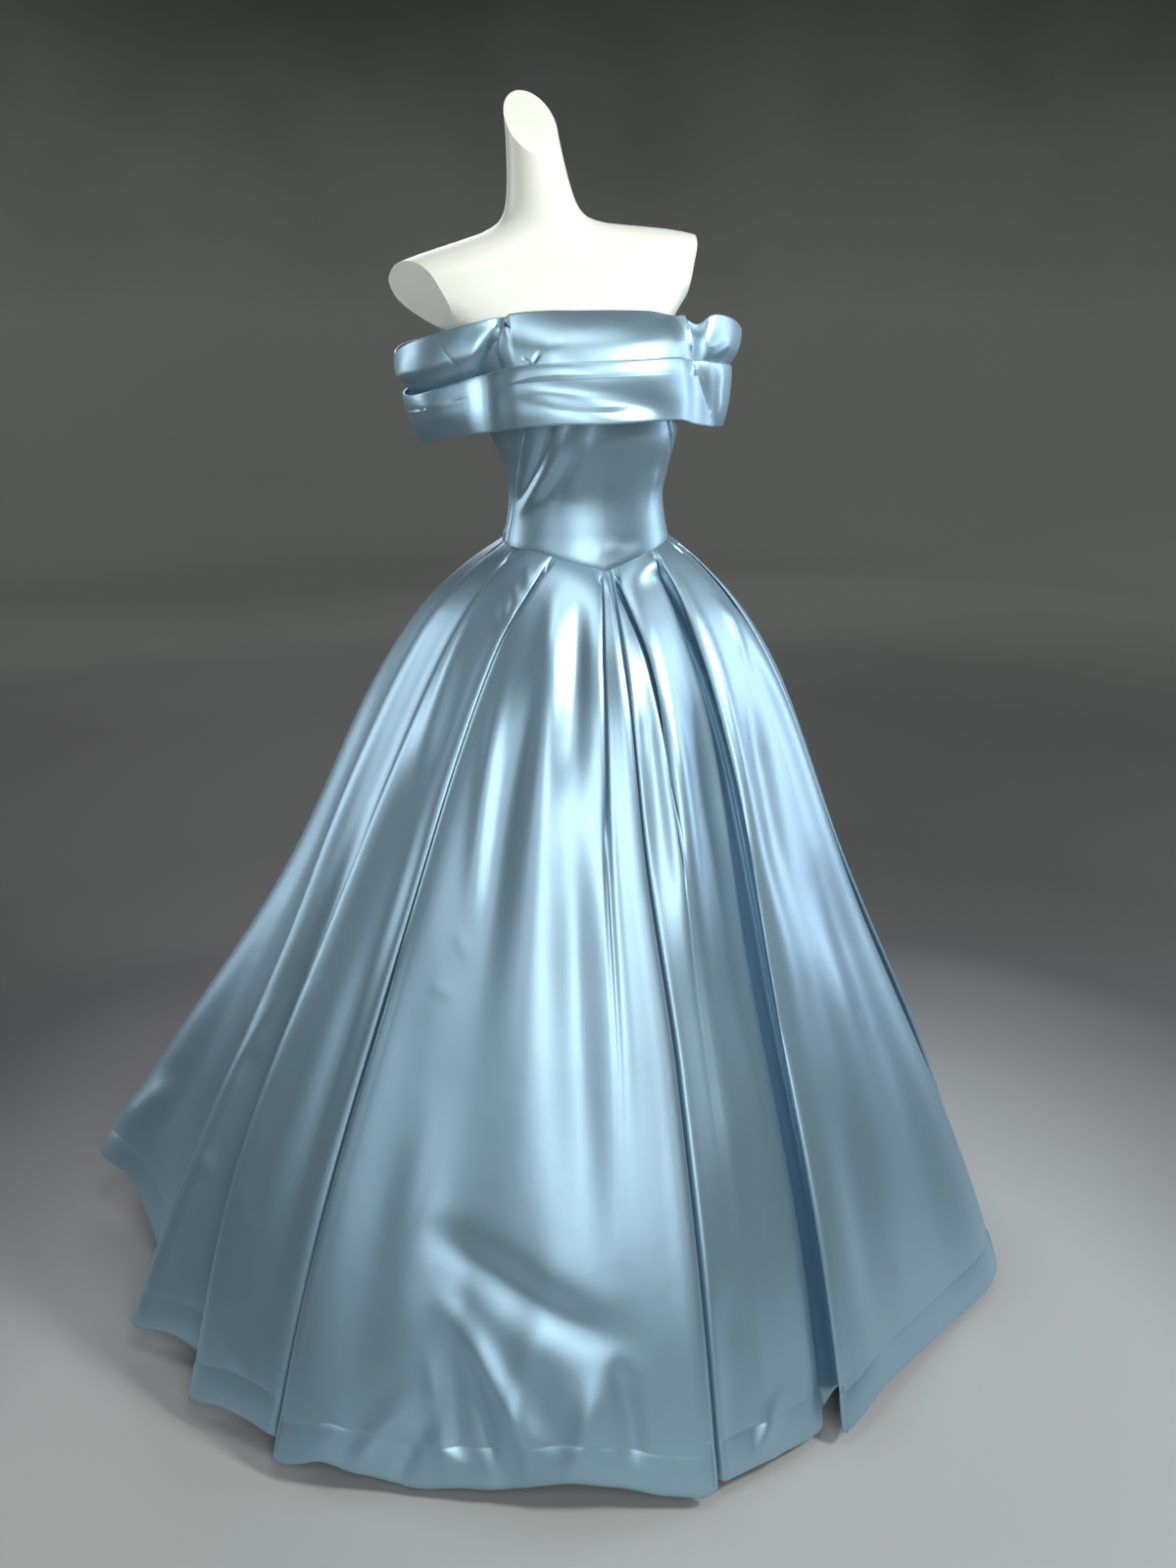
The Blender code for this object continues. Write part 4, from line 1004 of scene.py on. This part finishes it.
hem = HEM_HEIGHT + HEM_LIFT * bell(wrapped(angle - LIFTED_AT) / LIFTED_WIDTH)
height = top + (hem - top) * share[:, None]
height += table_at(HEM_WAVES, turned) * MM * smooth(HEM_WAVES_FROM, 1.0, share)[:, None]
skirt = np.concatenate([plan[..., :2], height[..., None]], 2)
outward = outward_of(skirt, True)
degree = math.radians(1.0) * table_at(SKIRT_REACH, share)[:, None]
relief = creased(SKIRT_CREASES, turned, 100.0 * share[:, None], degree, SKIRT_LENGTH / 100.0)
relief *= face_worth * smooth(0.0, CREASED_SHARE, share)[:, None]
# Below its stitches the doubled hem is puffed, and the stitches draw the cloth in.
below = (share - stitches) * SKIRT_LENGTH
puff = HEM_PUFF * np.sin(math.pi * np.clip(below / HEM_TURNED, 0.0, 1.0))
dip = -STITCH_DIP * bell(below / STITCH_SPREAD)
relief += (puff + dip)[:, None] * (IN_FOLDS[0] + (1.0 - IN_FOLDS[0]) * face_worth)
skirt = skirt + outward * relief[..., None]

# The last row rolls under, a little in the folds and more on the faces, and runs up inside.
roll = (HEM_ROLL * (IN_FOLDS[1] + (1.0 - IN_FOLDS[1]) * face_worth[-1]))[:, None]
inward, down = unit(-outward[-1] * (1, 1, 0)), np.array((0, 0, -1))
turned_up = unit(skirt[-STITCH_ROWS] - skirt[-1]) * HEM_TURNED
hem_rows = rolled_edge(skirt[-1], inward, down, roll, HEM_ROLL_ROWS, turned_up, HEM_TURNED_ROWS)
skirt = np.concatenate([skirt, hem_rows])

start = None
for name, end in SKIRT_PANELS:
    panel = skirt[:, columns_between(starts, valleys[start], valleys[end])]
    satin_sheet(name, panel)
    start = end


# ---- the drape bands and sleeve loops ----
# Two soft bands of satin, each folded double so that its edges are rolled and not hemmed. They cross
# the chest and the back, are caught in at the pinches, and leave the body between as two arm loops.

# Stations along the bands, and three points of each in millimetres: on the upper band's top edge, where
# the two bands meet, and on the lower band's bottom edge.
BANDS = (
    ("front_0", (-22, -80, 1392), (-10, -110, 1333), (-8, -134, 1262)),
    ("front_l1", (45, -75, 1392), (52, -105, 1334), (55, -126, 1263)),
    ("front_l2", (92, -56, 1389), (98, -86, 1333), (98, -106, 1260)),
    ("pinch_l", (124, -42, 1380), (126, -62, 1327), (128, -80, 1250)),
    ("loop_l1", (158, -38, 1378), (154, -50, 1323), (156, -60, 1243)),
    ("loop_l2", (206, -6, 1372), (191, -20, 1316), (185, -26, 1238)),
    ("outer_l", (236, 60, 1350), (212, 56, 1302), (204, 54, 1234)),
    ("loop_l3", (205, 112, 1354), (189, 114, 1300), (183, 114, 1236)),
    ("loop_l4", (152, 130, 1358), (148, 130, 1304), (142, 128, 1240)),
    ("tuck_l", (108, 126, 1358), (108, 121, 1306), (104, 114, 1243)),
    ("back_l", (58, 142, 1362), (60, 134, 1308), (60, 121, 1246)),
    ("back_0", (-24, 150, 1364), (-20, 142, 1308), (-16, 128, 1246)),
    ("back_r", (-104, 138, 1360), (-100, 129, 1306), (-94, 114, 1244)),
    ("tuck_r", (-140, 126, 1352), (-134, 120, 1300), (-126, 110, 1240)),
    ("loop_r4", (-176, 130, 1348), (-166, 128, 1292), (-156, 124, 1232)),
    ("loop_r3", (-218, 108, 1342), (-207, 110, 1286), (-194, 110, 1224)),
    ("outer_r", (-239, 56, 1335), (-227, 52, 1283), (-210, 50, 1220)),
    ("loop_r2", (-222, 0, 1352), (-216, -16, 1292), (-200, -22, 1234)),
    ("loop_r1", (-176, -40, 1372), (-174, -50, 1308), (-168, -60, 1246)),
    ("pinch_r", (-140, -52, 1382), (-140, -60, 1318), (-141, -74, 1250)),
    ("front_r2", (-112, -56, 1389), (-108, -88, 1328), (-112, -106, 1258)),
    ("front_r1", (-72, -74, 1392), (-66, -104, 1332), (-66, -126, 1262)),
)
BAND_PIECES = (
    ("front", "pinch_r", "pinch_l"),
    ("sleeve_left", "pinch_l", "tuck_l"),
    ("back", "tuck_l", "tuck_r"),
    ("sleeve_right", "tuck_r", "pinch_r"),
)
BAND_CLOTH = 0.0011
BAND_STEPS, PINCH_STEPS = 16, 40  # columns from one station to the next: elsewhere, and at the pinches
PINCHES = (2, 3, 4, 17, 18, 19, 20)  # the stations after which the columns are closer
BAND_ROWS = 40
BAND_SWELL = 0.005  # how far the middle of a band stands out
FOLD_RADIUS = 0.0017  # of a band's rolled edges
FOLD_ROWS = 6
LEAF = 0.020  # how far the cloth is followed behind a rolled edge
LEAF_ROWS = 3
# The upper band's top edge lies on the bodice between these stations in front, and past one behind.
SEWN_FROM, SEWN_TO, BACK_SEWN = -1.8, 2.2, 10.2
SEAT_FADE = 1.3  # how fast the band leaves the bodice below that edge
STATION_WIDTH, BAND_WIDTH = 0.052, 0.068  # metres in a station and down a band

# Tucks, where one part of a band lies over the next, which drops away beside its edge: station and
# percent of the way down at the start, middle and end, and in millimetres how deep it drops at the
# start and the end, and how far away the drop has run out (negative towards the gown's right).
UPPER_TUCKS = (
    (-1.75, -15, -2.5, 36, -2.6, 125, 3, 24, -27),
    (3.04, -25, 3.1, 45, 3.07, 125, 10, 17, 22),
    (9.05, -20, 8.95, 50, 9, 130, 6, 6, -30),
    (-9.05, -20, -8.95, 50, -9, 130, 6, 6, 30),
)
LOWER_TUCKS = (
    (2.98, -25, 3.35, 44, 4.3, 110, 7, 2, 22),
    (9.05, -20, 8.95, 50, 9, 130, 5, 5, -30),
    (-9.05, -20, -8.95, 50, -9, 130, 5, 5, 30),
)
TUCK_ROUND = 0.0026  # of a tuck's rounded edge
TUCK_LAP, LAP_SHARE = 0.0012, 0.3  # how far that lies over its neighbour, and at most of its depth
# Creases: station and percent of the way down at the start, middle and end, and in millimetres the
# width at the start and the end, and the depth. Stations on the gown's right count down from its
# middle, and each is about 52 mm.
UPPER_CREASES = (
    # the right loop, with the seam that joins it
    (-2, 12, -3.06, 35, -4, 75, 13, 17, 3.4),
    (-4.44, 5, -4.19, 49, -3.85, 85, 1.8, 1.8, -0.5),
    (-5.2, 10, -5.6, 50, -6, 90, 16, 18, 2),
    (-6.6, 20, -7.2, 45, -7.9, 60, 16, 18, -2.4),
    # the small tuck in front, and the creases that run from it
    (-1.88, 82, -1.74, 90, -1.54, 94, 1.8, 1.8, -1.6),
    (-1.64, 96, -1.5, 87, -1.3, 74, 2, 2.4, -1.5),
    (-1.4, 86, -0.9, 66, -0.34, 50, 10, 16, 0.9),
    # the left loop
    (4.95, 30, 4.25, 72, 3.5, 102, 12, 13, 3),
    (6.4, 30, 7.2, 50, 8, 62, 16, 18, -2.4),
    (7.6, 10, 8.2, 35, 8.7, 70, 12, 13, 2),
    # the drape at the back
    (-8.6, 15, -8.1, 40, -7.6, 75, 12, 14, 2),
    (9.4, 30, 10.2, 45, 11, 50, 14, 19, 1.8),
    (-9.4, 60, -10.1, 48, -10.9, 40, 14, 19, -1.8),
)
LOWER_CREASES = (
    # the right pinch and loop
    (-3.34, -40, -3.2, 38, -3.1, 150, 23, 26, -2.6),
    (-4.6, 10, -4.7, 45, -4.6, 100, 23, 23, 2),
    (-6.4, 20, -7.1, 50, -7.9, 70, 16, 19, 2.2),
    # the front: a soft fold that falls to the left
    (-2.8, 6, 0.6, 16, 3.2, 46, 22, 28, 1.8),
    (-2.6, 26, -0.05, 58, 2.3, 104, 13, 19, -6.2),
    (-3, 62, -0.3, 92, 1.9, 124, 15, 16, 2.6),
    # the left loop
    (4.7, -10, 4.35, 44, 4.6, 120, 13, 13, 2.6),
    (6.4, 30, 7.2, 50, 8, 62, 16, 18, 2),
    # the drape at the back
    (9.5, 60, 10.3, 48, 11, 50, 14, 19, -2),
    (-9.4, 30, -10.1, 45, -10.9, 55, 14, 19, 2),
)
# The left loop's top edge dips and rises: station, and millimetres above its even height.
TOP_WAVES = (
    (-11, 0), (-6.2, 0), (-5.4, 3), (-4.3, 1), (-2.4, 0), (2.7, 0), (3.05, 2), (3.55, -8), (4.25, 4),
    (4.9, 0), (5.6, -3), (6.6, 0), (11, 0),
)
SLEEVE_GAP = 0.0080  # how much deeper the upper band lies behind the lower one on the right sleeve
SLEEVE_STATIONS = (-7.0, -6.0, -3.0, -2.4)  # where that starts, is whole, stops being so, and ends
LOWER_OVERLAP = 0.0035  # how far the lower band's top edge stands in front of the upper band
UPPER_DROP, DROP_FROM = 0.3 * LOWER_OVERLAP, 0.6  # how far the upper band gives way to it, from here
HALF_WAY = 0.5


def closed_curve(points, steps):
    """A smooth closed curve through the points, with a number of points for each stretch."""
    ahead = np.roll(points, -1, 0) - points
    length = np.linalg.norm(ahead, axis=1)
    tangent = unit(unit(ahead) + unit(np.roll(ahead, 1, 0)))
    made = []
    for k, count in enumerate(steps):
        s = (np.arange(count) / count)[:, None]
        j = (k + 1) % len(points)
        slopes = length[k] * tangent[k], length[k] * tangent[j]
        made.append(between(points[k], slopes[0], points[j], slopes[1], s))
    return np.concatenate(made)


def tucked(tucks, across, down, across_size, down_size):
    """How far the cloth drops, and how far it slides sideways, at tucks that lie over a recess."""
    drop = np.zeros(np.broadcast(across, down).shape)
    slide = np.zeros(drop.shape)
    for *stops, depth_0, depth_2, run in tucks:
        beside, along = beside_curve(stops, across, down, across_size, down_size)
        side = math.copysign(1.0, run)
        beside = beside * side
        depth = (depth_0 + (depth_2 - depth_0) * along) * MM
        away = bell(np.maximum(0.0, beside) / (abs(run) * MM))
        drop -= depth * smooth(-TUCK_ROUND, TUCK_ROUND, beside) * away
        over = bell(beside / TUCK_ROUND + 1.0) - bell(beside / TUCK_ROUND - 1.0)
        slide += side * np.minimum(TUCK_LAP, LAP_SHARE * depth) * over
    return drop, slide


def beside_body(points, away):
    """The places at the points' own heights and sides of the form, this far off its surface."""
    lean_share = smooth(LEAN_FROM, LEAN_TO, points[:, 2])
    x = points[:, 0] - LEAN_SIDE * lean_share - WAIST_CENTRE[0]
    y = points[:, 1] - LEAN_BACK * lean_share - WAIST_CENTRE[1]
    height = points[:, 2] - (lean(x, 0.0, points[:, 2])[:, 2] - points[:, 2])
    return on_body(np.degrees(np.arctan2(x, -y)), height, away)


def folded_edge(row, inward, along):
    return rolled_edge(row, inward, along, FOLD_RADIUS, FOLD_ROWS, -along * LEAF, LEAF_ROWS)


names, *edges = zip(*BANDS)
steps = [PINCH_STEPS if k in PINCHES else BAND_STEPS for k in range(len(BANDS))]
starts = np.concatenate([[0], np.cumsum(steps)])
top_edge, seam, foot_edge = (closed_curve(np.array(edge) * MM, steps) for edge in edges)
station = np.concatenate([k + np.arange(step) / step for k, step in enumerate(steps)])
station = (station + len(BANDS) / 2) % len(BANDS) - len(BANDS) / 2
sewn = smooth(SEWN_FROM - 1.0, SEWN_FROM, station) * (1.0 - smooth(SEWN_TO, SEWN_TO + 1.0, station))
sewn[np.abs(station) > BACK_SEWN] = 1.0
across, down = station[None, :], np.linspace(0.0, 1.0, BAND_ROWS)[:, None]
sizes = STATION_WIDTH, BAND_WIDTH / 100.0
for band, high, low, creases, tucks in (
    ("upper", top_edge, seam, UPPER_CREASES, UPPER_TUCKS),
    ("lower", seam, foot_edge, LOWER_CREASES, LOWER_TUCKS),
):
    base = high[None] * (1 - down[..., None]) + low[None] * down[..., None]
    outward = outward_of(base, True)
    swell = BAND_SWELL * np.sin(math.pi * down) + creased(creases, across, 100.0 * down, *sizes)
    drop, slide = tucked(tucks, across, 100.0 * down, *sizes)
    sideways = unit(np.roll(base, -1, 1) - np.roll(base, 1, 1))
    if band == "upper":
        base[..., 2] += table_at(TOP_WAVES, across) * MM * (1.0 - down) ** 2
        swell -= UPPER_DROP * smooth(DROP_FROM, 1.0, down)
        on_sleeve = smooth(*SLEEVE_STATIONS[:2], across) * (1.0 - smooth(*SLEEVE_STATIONS[2:], across))
        swell -= SLEEVE_GAP * smooth(HALF_WAY, 1.0, down) * on_sleeve
    else:
        swell += LOWER_OVERLAP * (1.0 - smooth(0.0, HALF_WAY, down))
    face = base + outward * (swell + drop)[..., None] + sideways * slide[..., None]
    if band == "upper":
        away = bodice_fit(face[0, :, 2]) + CLOTH + SEAM_GAP + 2 * FOLD_RADIUS
        seated = beside_body(face[0], away)
        face += (seated - face[0]) * sewn[None, :, None] * (1.0 - down[..., None]) ** SEAT_FADE
    outward = outward_of(face, True)
    top = folded_edge(face[0], -outward[0], unit(face[0] - face[1]))
    foot = folded_edge(face[-1], -outward[-1], unit(face[-1] - face[-2]))
    strip = np.concatenate([top[::-1], face, foot])
    for name, start, end in BAND_PIECES:
        piece = f"band_{band}_{name}" if name in ("front", "back") else f"{name}_{band}"
        columns = columns_between(starts, names.index(start), names.index(end))
        satin_sheet(piece, strip[:, columns], BAND_CLOTH)
